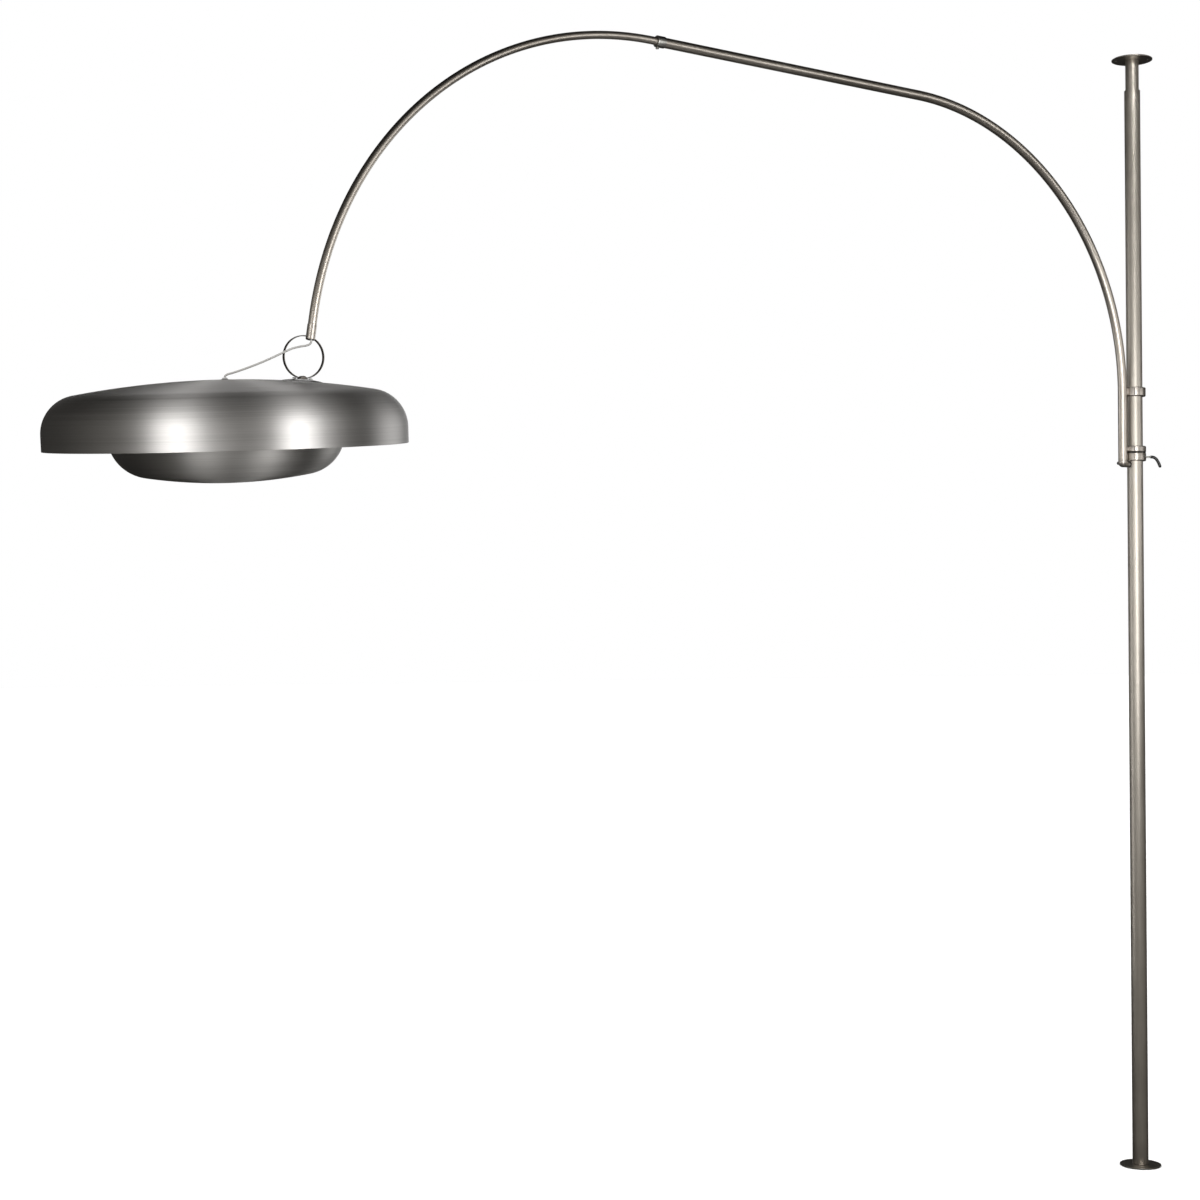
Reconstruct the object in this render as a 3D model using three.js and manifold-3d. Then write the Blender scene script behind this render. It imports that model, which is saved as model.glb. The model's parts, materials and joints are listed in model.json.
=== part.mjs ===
// Floor-to-ceiling arc lamp: a sprung pole between floor and ceiling, a bent telescopic arm that
// swivels and slides on it, and a wide spun aluminium shade that hangs from the arm's tip by a ring.
// Millimetres, +Z up. The origin is the centre of the floor pad's underside, on the pole's axis.
// The arm lies in the XZ plane and reaches towards -X.

import * as THREE from 'three';
import { mergeVertices } from 'three/addons/utils/BufferGeometryUtils.js';
import Module from 'manifold-3d';

// ---- Driving dimensions ---------------------------------------------------------------------

const degrees = Math.PI / 180;
const gap = 0.3; // clearance left between pieces that touch
const runningGap = 0.4; // clearance of pieces that slide or turn on each other

// Pole
const roomHeight = 2700;
const padThickness = 0.8;
const padInset = 2;
const discThickness = 2;
const discRadius = 49;
const padRadius = discRadius - padInset;
const discEdge = 0.6;
const discHoleRadius = 2.8;
const discHoleInset = 12;
const discHoleCircle = discRadius - discHoleInset;
const discHoleAzimuth = -40 * degrees;
const spigotLength = 30;
const poleRadius = 19;
const poleWall = 1.5;
const upperPoleShowing = 78;
const poleTop = roomHeight - upperPoleShowing;
const poleLip = 1.5;
const bushSpace = 1.5; // between the lower tube's bore and the upper tube
const upperPoleRadius = poleRadius - poleWall - bushSpace;
const upperPoleWall = 1.5;
const poleOverlap = 322;
const upperPoleBottom = poleTop - poleOverlap;
const guideBushLength = 60;
const springWireRadius = 1.5;
const springInset = 3.5;
const springRadius = upperPoleRadius - springInset;
const springTurns = 12;
const springSpace = 220;
const springSeatTop = upperPoleBottom - springSpace;
const springSeatHeight = 12;
const springBossRadius = springRadius - springWireRadius - 2;
const springBossHeight = 12;
const followerFlange = 8;

// Collars on the pole
const collarWall = 7.5;
const collarRadius = poleRadius + collarWall;
const collarChamfer = 2;
const linerWall = 1;
const seamWidth = 1.6;
const seamAzimuth = 226 * degrees;
const clampBottom = 1711.5;
const clampHeight = 19.5;
const thrustWasherHeight = 1.4;
const lowerCollarHeight = 14.5;
const upperCollarDrop = 8.5; // from where the riser begins to bend
const upperCollarHeight = 21.5;
const bridgeWidth = 14;

// Clamp lever
const leverAzimuth = -35 * degrees;
const leverHeight = clampBottom + clampHeight / 2;
const studRadius = 2.5;
const studReach = 15.5;
const studEnd = collarRadius + studReach;
const gripRadius = 3.6;
const gripStandoff = 10.5;
const gripStart = collarRadius + gripStandoff;
const gripReach = 24;
const gripDrop = 26;
const clampPadRadius = 5;
const clampPadThickness = 2.4;

// Arm
const rearRadius = 11;
const rearWall = 1.5;
const armStandoff = 2.5; // between the collars and the riser
const armOffset = collarRadius + armStandoff + rearRadius;
const footLegRadius = 7.4;
const footClearance = 1.6; // between the foot and the clamp
const footLegHeight = clampBottom - footClearance - footLegRadius;
const footCentre = footLegHeight + 3.5;
const footNeck = 4.3;
const riserBottom = footCentre + footNeck;
const riserLength = 167.7;
const riserTop = riserBottom + riserLength;
const upperCollarBottom = riserTop - upperCollarDrop;
const rearBendRadius = 648;
const rearBendTurn = 88 * degrees;
const rearStraight = 700;
const slideSpace = 1;
const frontRadius = rearRadius - rearWall - slideSpace;
const frontWall = 1;
const frontTail = 380;
const frontNeck = 8;
const frontBendRadius = 755;
const frontBendTurn = 84.1 * degrees;
const frontTip = 30;
const couplingWall = 1.5;
const couplingRadius = rearRadius + couplingWall;
const couplingLength = 20;
const couplingLip = 8;
const screwRadius = 2;
const screwHeadRadius = 3.6;
const screwHeadHeight = 3.2;
const footSpigot = 22;
const footPadLength = 3;
const outletRadius = 4.6;
const outletLength = 6;

// Flex
const flexRadius = 2;

// Tip and ring
const tipSocketDepth = 18;
const tipHeadBelow = 5;
const tipHeadFloor = 7.7;
const tipChamber = 4.8;
const ringRadius = 41; // to the middle of the band
const ringBand = 8;
const tipBoreOffset = ringBand / 2 + gap + flexRadius;
const tipHeadRadius = Math.max(frontRadius + gap + 0.5, tipBoreOffset + flexRadius + 1);
const ringThickness = 2;
const ringLean = new THREE.Vector2(-13, -38.9); // from the eye in the tip to the ring's centre

// Shade
const shadeRadius = 344;
const shadeWallHeight = 31;
const shadeShoulder = 74;
const shadeCrownSlope = 9.7 * degrees;
const shadeSheet = 1.2;
const shadePitch = -4.5 * degrees;
const shadeRoll = 5.4 * degrees;
const ringOffset = 157; // from the shade's axis to the ring's base
const baseRadius = 40;
const baseEdge = 0.9;
const baseCrown = 5.5;
const lugRadius = 9;
const lugWidth = 13;
const lugCentre = 2.5;
const baseScrewSpread = 17;
const baseScrewHeadRadius = 4;
const baseScrewHeadHeight = 2.2;
const backingRadius = 30;
const backingThickness = 1.6;
const backingGap = 0.9; // more than the flats of the crown stand in from its curve
const nutHeight = 3.2;
const bowlRadius = 223;
const bowlShoulder = 80;
const bowlCrownSlope = 10 * degrees;
const bowlShoulderHeight = 24.5;
const bowlRim = 27;
const bowlSheet = 1.2;
const rodRadius = 5;
const rodBore = flexRadius + 0.6;
const rodInBoss = 3; // the boss's floor under the rod
const rodFlangeRadius = 6.5;
const rodFlangeHeight = 1.2;
const lockNutRadius = 9;
const grommetRadius = 4.6;
const grommetHeight = 1.6;
const bowlBossRadius = 20;
const bowlBossHeight = 9;
const carrierRadius = 30;
const carrierBottom = 16;
const carrierTop = 46;
const carrierWall = 1.5;
const holderRadius = 20;
const holderLength = 46;
const bulbRadius = 30;
const bulbNeck = 13;
const bulbWall = 1;
const bulbBaseDepth = 24;
const bulbNeckLength = 30;
const lampHeight = 29;
const lampCount = 3;
const lampAzimuth = 90 * degrees;
const terminalCupRadius = 34;
const terminalCupDrop = 69; // below the crown
const terminalCupHeight = 36;
const terminalBlock = new THREE.Vector3(22, 14, 12);

const roundSteps = 20;
const fineSteps = 30;
const tubeSides = 16;
const bendSteps = 14;
const bulbSteps = 5;
const lampSides = 12;

// ---- Solids and booleans --------------------------------------------------------------------

const wasm = await Module();
wasm.setup();

// Merges shared vertices and drops the triangles that collapse at a lathe's poles.
function closedMesh(geometry) {
  const bare = geometry.clone();
  bare.deleteAttribute('normal');
  bare.deleteAttribute('uv');
  const merged = mergeVertices(bare, 1e-4);
  const source = merged.index.array;
  const kept = [];
  for (let i = 0; i < source.length; i += 3) {
    const [a, b, c] = [source[i], source[i + 1], source[i + 2]];
    if (a !== b && b !== c && c !== a) kept.push(a, b, c);
  }
  merged.setIndex(kept);
  return merged;
}

function toSolid(geometry) {
  const merged = closedMesh(geometry);
  return new wasm.Manifold(new wasm.Mesh({
    numProp: 3,
    vertProperties: new Float32Array(merged.attributes.position.array),
    triVerts: new Uint32Array(merged.index.array),
  }));
}

function toGeometry(solid) {
  const mesh = solid.getMesh();
  const geometry = new THREE.BufferGeometry();
  geometry.setAttribute('position', new THREE.BufferAttribute(new Float32Array(mesh.vertProperties), 3));
  geometry.setIndex(new THREE.BufferAttribute(new Uint32Array(mesh.triVerts), 1));
  geometry.computeVertexNormals();
  return geometry;
}

function cut(geometry, ...tools) {
  return toGeometry(tools.reduce((solid, tool) => solid.subtract(toSolid(tool)), toSolid(geometry)));
}

function join(geometry, ...others) {
  return toGeometry(others.reduce((solid, other) => solid.add(toSolid(other)), toSolid(geometry)));
}

// ---- Shapes ---------------------------------------------------------------------------------

// Turned about Z: the profile lists [radius, height] pairs, anticlockwise, and closes on itself
// or on the axis.
function turned(profile, steps = roundSteps) {
  const points = profile.map(([radius, height]) => new THREE.Vector2(radius, height));
  const onAxis = points[0].x === 0 && points[points.length - 1].x === 0;
  if (!onAxis) points.push(points[0].clone());
  return closedMesh(new THREE.LatheGeometry(points, steps)).rotateX(90 * degrees);
}

function rod(radius, bottom, top, steps = roundSteps) {
  return turned([[0, bottom], [radius, bottom], [radius, top], [0, top]], steps);
}

function sleeve(inner, outer, bottom, top, steps = roundSteps) {
  return turned([[inner, bottom], [outer, bottom], [outer, top], [inner, top]], steps);
}

// A rod between two radii along the direction of an azimuth, at a height.
function radialRod(radius, from, to, azimuth, height, steps = 20) {
  return rod(radius, from, to, steps)
    .rotateY(90 * degrees)
    .rotateZ(azimuth)
    .translate(0, 0, height);
}

function radialBox(length, width, depth, middle, azimuth, height) {
  return new THREE.BoxGeometry(length, width, depth)
    .translate(middle, 0, 0)
    .rotateZ(azimuth)
    .translate(0, 0, height);
}

function hexagon(radius, bottom, top) {
  return rod(radius, bottom, top, 6);
}

// Points on an arc of a profile, from one angle to the other, both included.
function arc(centre, radius, from, to, count) {
  const points = [];
  for (let i = 0; i <= count; i += 1) {
    const angle = from + ((to - from) * i) / count;
    points.push([centre[0] + radius * Math.cos(angle), centre[1] + radius * Math.sin(angle)]);
  }
  return points;
}

// A line of straight legs and bends in the XZ plane. A straight leg is one step, a bend is many.
class BentLine extends THREE.Curve {
  constructor(start, heading, legs) {
    super();
    this.points = [start.clone()];
    this.tangents = [];
    let place = start.clone();
    let angle = heading; // from +Z towards -X
    const direction = (a) => new THREE.Vector3(-Math.sin(a), 0, Math.cos(a));
    this.tangents.push(direction(angle));
    for (const leg of legs) {
      if (leg.length) {
        place = place.clone().addScaledVector(direction(angle), leg.length);
        this.points.push(place);
        this.tangents.push(direction(angle));
      } else {
        const centre = place.clone().addScaledVector(direction(angle + 90 * degrees), leg.radius);
        for (let i = 1; i <= leg.steps; i += 1) {
          const at = angle + (leg.turn * i) / leg.steps;
          this.points.push(centre.clone().addScaledVector(direction(at - 90 * degrees), leg.radius));
          this.tangents.push(direction(at));
        }
        angle += leg.turn;
        place = this.points[this.points.length - 1];
      }
    }
    this.heading = angle;
    this.end = place;
  }

  get steps() {
    return this.points.length - 1;
  }

  at(list, u) {
    const position = u * this.steps;
    const index = Math.min(Math.floor(position), this.steps - 1);
    return list[index].clone().lerp(list[index + 1], position - index);
  }

  getPoint(t, target = new THREE.Vector3()) {
    return target.copy(this.at(this.points, t));
  }

  getPointAt(u, target = new THREE.Vector3()) {
    return this.getPoint(u, target);
  }

  getTangent(t, target = new THREE.Vector3()) {
    return target.copy(this.at(this.tangents, t)).normalize();
  }

  getTangentAt(u, target = new THREE.Vector3()) {
    return this.getTangent(u, target);
  }
}

function disc(radius, sides, hole = 0) {
  const shape = new THREE.Shape();
  const ring = (path, size) => {
    for (let i = 0; i < sides; i += 1) {
      const angle = (2 * Math.PI * i) / sides;
      const move = i === 0 ? 'moveTo' : 'lineTo';
      path[move](size * Math.cos(angle), size * Math.sin(angle));
    }
    path.closePath();
    return path;
  };
  ring(shape, radius);
  if (hole > 0) shape.holes.push(ring(new THREE.Path(), hole));
  return shape;
}

function piped(path, radius, steps, sides, hole = 0) {
  return new THREE.ExtrudeGeometry(disc(radius, sides, hole), { extrudePath: path, steps });
}

// ---- Materials ------------------------------------------------------------------------------

const finish = {
  satinSteel: () => new THREE.MeshStandardMaterial({ color: 0x8d8880, metalness: 1, roughness: 0.35 }),
  brushedAluminium: () => new THREE.MeshStandardMaterial({ color: 0x9c9a97, metalness: 1, roughness: 0.42 }),
  zincSteel: () => new THREE.MeshStandardMaterial({ color: 0xa9a9a6, metalness: 1, roughness: 0.4 }),
  brass: () => new THREE.MeshStandardMaterial({ color: 0xb8985a, metalness: 1, roughness: 0.4 }),
  blackPlastic: () => new THREE.MeshStandardMaterial({ color: 0x161616, metalness: 0, roughness: 0.45 }),
  nylon: () => new THREE.MeshStandardMaterial({ color: 0x2a2927, metalness: 0, roughness: 0.6 }),
  rubber: () => new THREE.MeshStandardMaterial({ color: 0x1d1d1c, metalness: 0, roughness: 0.85 }),
  porcelain: () => new THREE.MeshStandardMaterial({ color: 0xe9e6df, metalness: 0, roughness: 0.25 }),
  opalGlass: () => new THREE.MeshStandardMaterial({ color: 0xf4f1ea, metalness: 0, roughness: 0.3 }),
  whiteFlex: () => new THREE.MeshStandardMaterial({ color: 0xe4e2dc, metalness: 0, roughness: 0.5 }),
};

function piece(name, geometry, material, parent) {
  const mesh = new THREE.Mesh(geometry, material());
  mesh.name = name;
  parent.add(mesh);
  return mesh;
}

// ---- Pole -----------------------------------------------------------------------------------

function flangeHoles(bottom, top) {
  return [0, 180 * degrees].map((turn) => rod(discHoleRadius, bottom, top, 16)
    .translate(discHoleCircle, 0, 0)
    .rotateZ(discHoleAzimuth + turn));
}

function flangePad(bottom) {
  const top = bottom + padThickness;
  return cut(rod(padRadius, bottom, top, fineSteps), ...flangeHoles(bottom - 1, top + 1));
}

function addPole(lamp) {
  const discBottom = padThickness + gap;
  const discTop = discBottom + discThickness;
  const poleBore = poleRadius - poleWall;
  const plugRadius = poleBore - gap;
  piece('floor_pad', flangePad(0), finish.rubber, lamp);

  const floorDisc = turned([
    [0, discBottom], [discRadius, discBottom], [discRadius, discTop - discEdge],
    [discRadius - discEdge, discTop], [plugRadius, discTop],
    [plugRadius, discTop + spigotLength], [0, discTop + spigotLength],
  ], fineSteps);
  piece('floor_disc', cut(floorDisc, ...flangeHoles(0, discTop + 1)), finish.satinSteel, lamp);

  piece('lower_pole_tube', turned([
    [poleBore, discTop + gap], [poleRadius, discTop + gap], [poleRadius, poleTop - poleLip],
    [poleRadius - poleLip / 2, poleTop], [poleBore, poleTop],
  ], fineSteps), finish.satinSteel, lamp);

  const bushTop = poleTop - poleLip;
  piece('pole_guide_bush', sleeve(
    upperPoleRadius + gap, plugRadius, bushTop - guideBushLength, bushTop,
  ), finish.nylon, lamp);

  piece('spring_seat', turned([
    [0, springSeatTop - springSeatHeight], [plugRadius, springSeatTop - springSeatHeight],
    [plugRadius, springSeatTop], [springBossRadius, springSeatTop],
    [springBossRadius, springSeatTop + springBossHeight], [0, springSeatTop + springBossHeight],
  ]), finish.zincSteel, lamp);
}

class Helix extends THREE.Curve {
  constructor(radius, bottom, top, turns) {
    super();
    Object.assign(this, { radius, bottom, top, turns });
  }

  getPoint(t, target = new THREE.Vector3()) {
    const angle = 2 * Math.PI * this.turns * t;
    return target.set(
      this.radius * Math.cos(angle),
      this.radius * Math.sin(angle),
      this.bottom + (this.top - this.bottom) * t,
    );
  }
}

function addUpperPole(lamp) {
  const bore = upperPoleRadius - upperPoleWall;
  const plugRadius = bore - gap;
  const discTop = roomHeight - padThickness - gap;
  const discBottom = discTop - discThickness;

  const flangeTop = upperPoleBottom - gap;
  const flangeBottom = flangeTop - followerFlange;
  piece('spring_follower', turned([
    [0, flangeBottom - springBossHeight], [springBossRadius, flangeBottom - springBossHeight],
    [springBossRadius, flangeBottom], [upperPoleRadius, flangeBottom],
    [upperPoleRadius, flangeTop], [plugRadius, flangeTop],
    [plugRadius, upperPoleBottom + spigotLength], [0, upperPoleBottom + spigotLength],
  ]), finish.zincSteel, lamp);

  const springBottom = springSeatTop + gap + springWireRadius;
  const springTop = flangeBottom - gap - springWireRadius;
  const helix = new Helix(springRadius, springBottom, springTop, springTurns);
  piece('pole_spring', piped(helix, springWireRadius, springTurns * 6, 4), finish.zincSteel, lamp);

  piece('upper_pole_tube', sleeve(bore, upperPoleRadius, upperPoleBottom, discBottom - gap, fineSteps),
    finish.satinSteel, lamp);

  const ceilingDisc = turned([
    [0, discBottom - spigotLength], [plugRadius, discBottom - spigotLength], [plugRadius, discBottom],
    [discRadius - discEdge, discBottom], [discRadius, discBottom + discEdge], [discRadius, discTop],
    [0, discTop],
  ], fineSteps);
  piece('ceiling_disc', cut(ceilingDisc, ...flangeHoles(discBottom - 1, discTop + 1)),
    finish.satinSteel, lamp);
  piece('ceiling_pad', flangePad(roomHeight - padThickness), finish.rubber, lamp);
}

// ---- Clamp and its lever --------------------------------------------------------------------

// A ring round the pole with chamfered edges and the seam where its ends meet.
function collarRing(inner, bottom, height) {
  const top = bottom + height;
  const ring = turned([
    [inner, bottom], [collarRadius - collarChamfer, bottom], [collarRadius, bottom + collarChamfer],
    [collarRadius, top - collarChamfer], [collarRadius - collarChamfer, top], [inner, top],
  ], fineSteps);
  const depth = collarRadius + 2 - (inner - 1);
  const seam = radialBox(depth, seamWidth, height + 2, inner - 1 + depth / 2, seamAzimuth,
    bottom + height / 2);
  return cut(ring, seam);
}

function addClamp(lamp) {
  const bore = poleRadius + runningGap;
  const padTop = bore + clampPadThickness;
  const pocket = radialRod(clampPadRadius + gap, bore - 4, padTop + gap, leverAzimuth, leverHeight, 24);
  const studHole = radialRod(studRadius + gap, bore, collarRadius + 5, leverAzimuth, leverHeight);
  piece('clamp_collar', cut(collarRing(bore, clampBottom, clampHeight), pocket, studHole),
    finish.satinSteel, lamp);

  const blank = radialRod(clampPadRadius, bore - 3, padTop, leverAzimuth, leverHeight, 24);
  const poleSpace = rod(bore, clampBottom, clampBottom + clampHeight, fineSteps);
  piece('clamp_pad', cut(blank, poleSpace), finish.brass, lamp);

  const studStart = padTop + 2 * gap;
  piece('lever_stud', radialRod(studRadius, studStart, studEnd, leverAzimuth, leverHeight),
    finish.zincSteel, lamp);

  const bend = new THREE.CubicBezierCurve3(
    new THREE.Vector3(gripStart, 0, 0),
    new THREE.Vector3(gripStart + gripReach * 0.55, 0, 1.5),
    new THREE.Vector3(gripStart + gripReach * 0.75, 0, -gripDrop * 0.35),
    new THREE.Vector3(gripStart + gripReach, 0, -gripDrop),
  );
  const knob = new THREE.SphereGeometry(gripRadius, 12, 8)
    .translate(gripStart + gripReach, 0, -gripDrop);
  const socket = rod(studRadius + gap, gripStart - 2, studEnd + gap, 16).rotateY(90 * degrees);
  const grip = cut(join(piped(bend, gripRadius, 8, 12), knob), socket)
    .rotateZ(leverAzimuth)
    .translate(0, 0, leverHeight);
  piece('lever_grip', grip, finish.blackPlastic, lamp);
}

// ---- Arm ------------------------------------------------------------------------------------

const rearLine = new BentLine(new THREE.Vector3(-armOffset, 0, riserBottom), 0, [
  { length: riserTop - riserBottom },
  { radius: rearBendRadius, turn: rearBendTurn, steps: bendSteps },
  { length: rearStraight },
]);
const armEnd = rearLine.end;
const armSlope = rearLine.heading;
const armDirection = new THREE.Vector3(-Math.sin(armSlope), 0, Math.cos(armSlope));
const couplingFace = rearLine.end.clone().addScaledVector(armDirection, couplingLip + gap);
const tailStart = couplingFace.clone().addScaledVector(armDirection, -frontTail);
const frontLine = new BentLine(tailStart, armSlope, [
  { length: frontTail + frontNeck },
  { radius: frontBendRadius, turn: frontBendTurn, steps: bendSteps },
  { length: frontTip },
]);

// Turns a piece built along +Z so that it lies along the arm's straight, at a point on it.
function alongArm(geometry, point) {
  return geometry.rotateY(-armSlope).translate(point.x, point.y, point.z);
}

function guideCollar(bottom, height) {
  const inner = poleRadius + runningGap + linerWall + gap;
  const bridge = new THREE.BoxGeometry(armOffset - inner - 4, bridgeWidth, height - 2 * collarChamfer)
    .translate(-(armOffset + inner + 4) / 2, 0, bottom + height / 2);
  const saddle = piped(rearLine, rearRadius + gap, rearLine.steps, tubeSides);
  return cut(join(collarRing(inner, bottom, height), bridge), saddle);
}

function addArmRoot(lamp) {
  piece('rear_arm_tube', piped(rearLine, rearRadius, rearLine.steps, tubeSides, rearRadius - rearWall),
    finish.satinSteel, lamp);

  const lowerBottom = clampBottom + clampHeight + thrustWasherHeight + 2 * gap;
  const collars = [
    ['lower', lowerBottom, lowerCollarHeight],
    ['upper', upperCollarBottom, upperCollarHeight],
  ];
  for (const [name, bottom, height] of collars) {
    piece(`${name}_guide_collar`, guideCollar(bottom, height), finish.satinSteel, lamp);
    const inner = poleRadius + runningGap;
    piece(`${name}_collar_liner`, sleeve(inner, inner + linerWall, bottom + 0.5, bottom + height - 0.5),
      finish.nylon, lamp);
  }
  const washerBottom = clampBottom + clampHeight + gap;
  piece('thrust_washer', sleeve(poleRadius + runningGap, collarRadius - 0.5, washerBottom,
    washerBottom + thrustWasherHeight), finish.nylon, lamp);
}

function addFoot(lamp) {
  const place = (geometry) => geometry.translate(-armOffset, 0, 0);
  const poleSpace = rod(poleRadius + runningGap, footCentre - 40, footCentre + 40, fineSteps);
  const spigotRadius = rearRadius - rearWall - gap;
  const shoulder = riserBottom - gap;
  const spigotTop = riserBottom + footSpigot;
  const outline = arc([0, footCentre], rearRadius, -90 * degrees, 0, 5);
  outline[0][0] = 0;
  const knuckle = place(turned([
    ...outline, [rearRadius, shoulder], [spigotRadius, shoulder], [spigotRadius, spigotTop],
    [0, spigotTop],
  ], tubeSides));
  const legEnd = poleRadius + runningGap + footPadLength + gap;
  const leg = radialRod(footLegRadius, legEnd, armOffset, 180 * degrees, footLegHeight);
  const wireWay = place(rod(flexRadius + 1, footCentre, spigotTop + 1, 12));
  const sideWay = rod(flexRadius + 1, 0, rearRadius + 2, 12).rotateX(-90 * degrees)
    .translate(-armOffset, 0, footCentre);
  const outletWay = rod(outletRadius - 1 + gap, 6, rearRadius + 2, 16).rotateX(-90 * degrees)
    .translate(-armOffset, 0, footCentre);
  piece('arm_foot', cut(join(knuckle, leg), wireWay, sideWay, outletWay),
    finish.satinSteel, lamp);

  const padBlank = radialRod(footLegRadius, poleRadius - 4, legEnd - gap, 180 * degrees,
    footLegHeight, 24);
  piece('foot_pad', cut(padBlank, poleSpace), finish.nylon, lamp);

  const outlet = turned([
    [flexRadius + 0.6, 6 + gap], [outletRadius - 1, 6 + gap], [outletRadius - 1, rearRadius + gap],
    [outletRadius, rearRadius + gap], [outletRadius - 0.8, rearRadius + outletLength],
    [flexRadius + 0.6, rearRadius + outletLength],
  ], 20).rotateX(-90 * degrees).translate(-armOffset, 0, footCentre);
  piece('mains_outlet_grommet', outlet, finish.rubber, lamp);

  const wireBottom = riserBottom + footSpigot + 2;
  const wire = new BentLine(new THREE.Vector3(-armOffset, 0, wireBottom), 0, [
    { length: riserTop - wireBottom },
    { radius: rearBendRadius, turn: rearBendTurn, steps: bendSteps },
    { length: rearStraight - frontTail - 40 },
  ]);
  piece('rear_inner_flex', piped(wire, flexRadius, wire.steps, 8), finish.whiteFlex, lamp);
}

function addCoupling(lamp) {
  const wide = rearRadius + gap;
  const narrow = frontRadius + runningGap;
  const back = couplingLip - couplingLength;
  const collar = turned([
    [wide, back], [couplingRadius - 0.8, back], [couplingRadius, back + 0.8],
    [couplingRadius, couplingLip - 0.8], [couplingRadius - 0.8, couplingLip],
    [narrow, couplingLip], [narrow, gap], [wide, gap],
  ]);
  const middle = (couplingLip + gap) / 2;
  const across = (geometry) => geometry.rotateY(-90 * degrees).translate(0, 0, middle);
  const screwHole = across(rod(screwRadius + gap, narrow - 3, couplingRadius + 3, 16));
  const screw = across(turned([
    [0, narrow], [screwRadius, narrow], [screwRadius, couplingRadius + gap],
    [screwHeadRadius, couplingRadius + gap], [screwHeadRadius, couplingRadius + gap + screwHeadHeight],
    [0, couplingRadius + gap + screwHeadHeight],
  ], 16));
  piece('coupling_collar', alongArm(cut(collar, screwHole), armEnd), finish.zincSteel, lamp);
  piece('coupling_screw', alongArm(screw, armEnd), finish.zincSteel, lamp);
}

function addFrontArm(lamp) {
  const bore = frontRadius - frontWall;
  piece('front_arm_tube', piped(frontLine, frontRadius, frontLine.steps, tubeSides, bore),
    finish.satinSteel, lamp);
  const wireBore = flexRadius + 1;
  const headRadius = rearRadius - rearWall - gap;
  const guide = turned([
    [wireBore, -8 - gap], [headRadius, -8 - gap], [headRadius, -gap], [bore - gap, -gap],
    [bore - gap, 12], [wireBore, 12],
  ], 24);
  piece('tail_guide', alongArm(guide, tailStart), finish.nylon, lamp);

  const wireStart = tailStart.clone().addScaledVector(armDirection, -14);
  const wire = new BentLine(wireStart, armSlope, [
    { length: frontTail + frontNeck + 14 },
    { radius: frontBendRadius, turn: frontBendTurn, steps: bendSteps },
  ]);
  piece('front_inner_flex', piped(wire, flexRadius, wire.steps, 8), finish.whiteFlex, lamp);
}

// ---- Tip, ring and shade --------------------------------------------------------------------

// The eye is the point of the tip that the ring passes through.
const tipAngle = 180 * degrees - frontLine.heading;
const eye = frontLine.end.clone().add(
  new THREE.Vector3(-Math.sin(tipAngle), 0, -Math.cos(tipAngle)).multiplyScalar(tipHeadFloor + gap),
);
const ringCentre = new THREE.Vector3(ringLean.x, 0, ringLean.y)
  .setLength(ringRadius)
  .applyAxisAngle(new THREE.Vector3(1, 0, 0), shadeRoll)
  .add(eye);

// A flat band bent into a ring about Y, grown by a clearance on every side.
function band(clearance, steps) {
  const inner = ringRadius - ringThickness / 2 - clearance;
  const outer = ringRadius + ringThickness / 2 + clearance;
  const half = ringBand / 2 + clearance;
  return sleeve(inner, outer, -half, half, steps).rotateX(90 * degrees);
}

function addTip(lamp) {
  const tip = new THREE.Group();
  tip.position.copy(eye);
  tip.rotation.y = tipAngle;
  lamp.add(tip);

  const top = tipHeadFloor + tipSocketDepth;
  const socket = frontRadius + gap;
  const body = turned([
    [0, -tipHeadBelow], [tipHeadRadius - 1, -tipHeadBelow], [tipHeadRadius, 1 - tipHeadBelow],
    [tipHeadRadius, top - 0.4], [tipHeadRadius - 0.4, top], [socket, top], [socket, tipHeadFloor - tipChamber],
    [0, tipHeadFloor - tipChamber],
  ], 24);
  const slot = band(0.3, fineSteps)
    .rotateX(shadeRoll)
    .translate(ringCentre.x - eye.x, ringCentre.y - eye.y, ringCentre.z - eye.z)
    .rotateY(-tipAngle);
  const flexWay = rod(flexRadius + 0.2, -tipHeadBelow - 2, tipHeadFloor, 16)
    .translate(0, -tipBoreOffset, 0);
  const side = (geometry) => geometry.rotateX(-90 * degrees);
  const clampHole = side(rod(1.8, ringBand / 2, tipHeadRadius + 2, 12));
  const holdHole = side(rod(1.8, frontRadius - 3, tipHeadRadius + 2, 12)).translate(0, 0, top - 5);
  piece('tip_head', cut(body, slot, flexWay, clampHole, holdHole), finish.satinSteel, tip);

  piece('ring_grub_screw', side(rod(1.5, ringBand / 2 + 0.5, tipHeadRadius - 0.2, 12)),
    finish.zincSteel, tip);
  piece('tip_retaining_screw', side(rod(1.5, frontRadius + gap, tipHeadRadius + 0.8, 12))
    .translate(0, 0, top - 5), finish.zincSteel, tip);

  const run = new THREE.CatmullRomCurve3([
    new THREE.Vector3(0, -0.5, top - 1),
    new THREE.Vector3(0, -1.4, tipHeadFloor + 10),
    new THREE.Vector3(0, -3.4, tipHeadFloor + 3),
    new THREE.Vector3(0, -tipBoreOffset, tipHeadFloor - tipChamber - 1),
    new THREE.Vector3(0, -tipBoreOffset, -tipHeadBelow + gap),
  ]);
  piece('tip_flex', piped(run, flexRadius, 12, 8), finish.whiteFlex, tip);
}

const crownRadius = (shadeRadius - shadeShoulder + shadeShoulder * Math.sin(shadeCrownSlope))
  / Math.sin(shadeCrownSlope);
const crownCentre = shadeWallHeight + (shadeShoulder - crownRadius) * Math.cos(shadeCrownSlope);
const crownTop = crownCentre + crownRadius;

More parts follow.
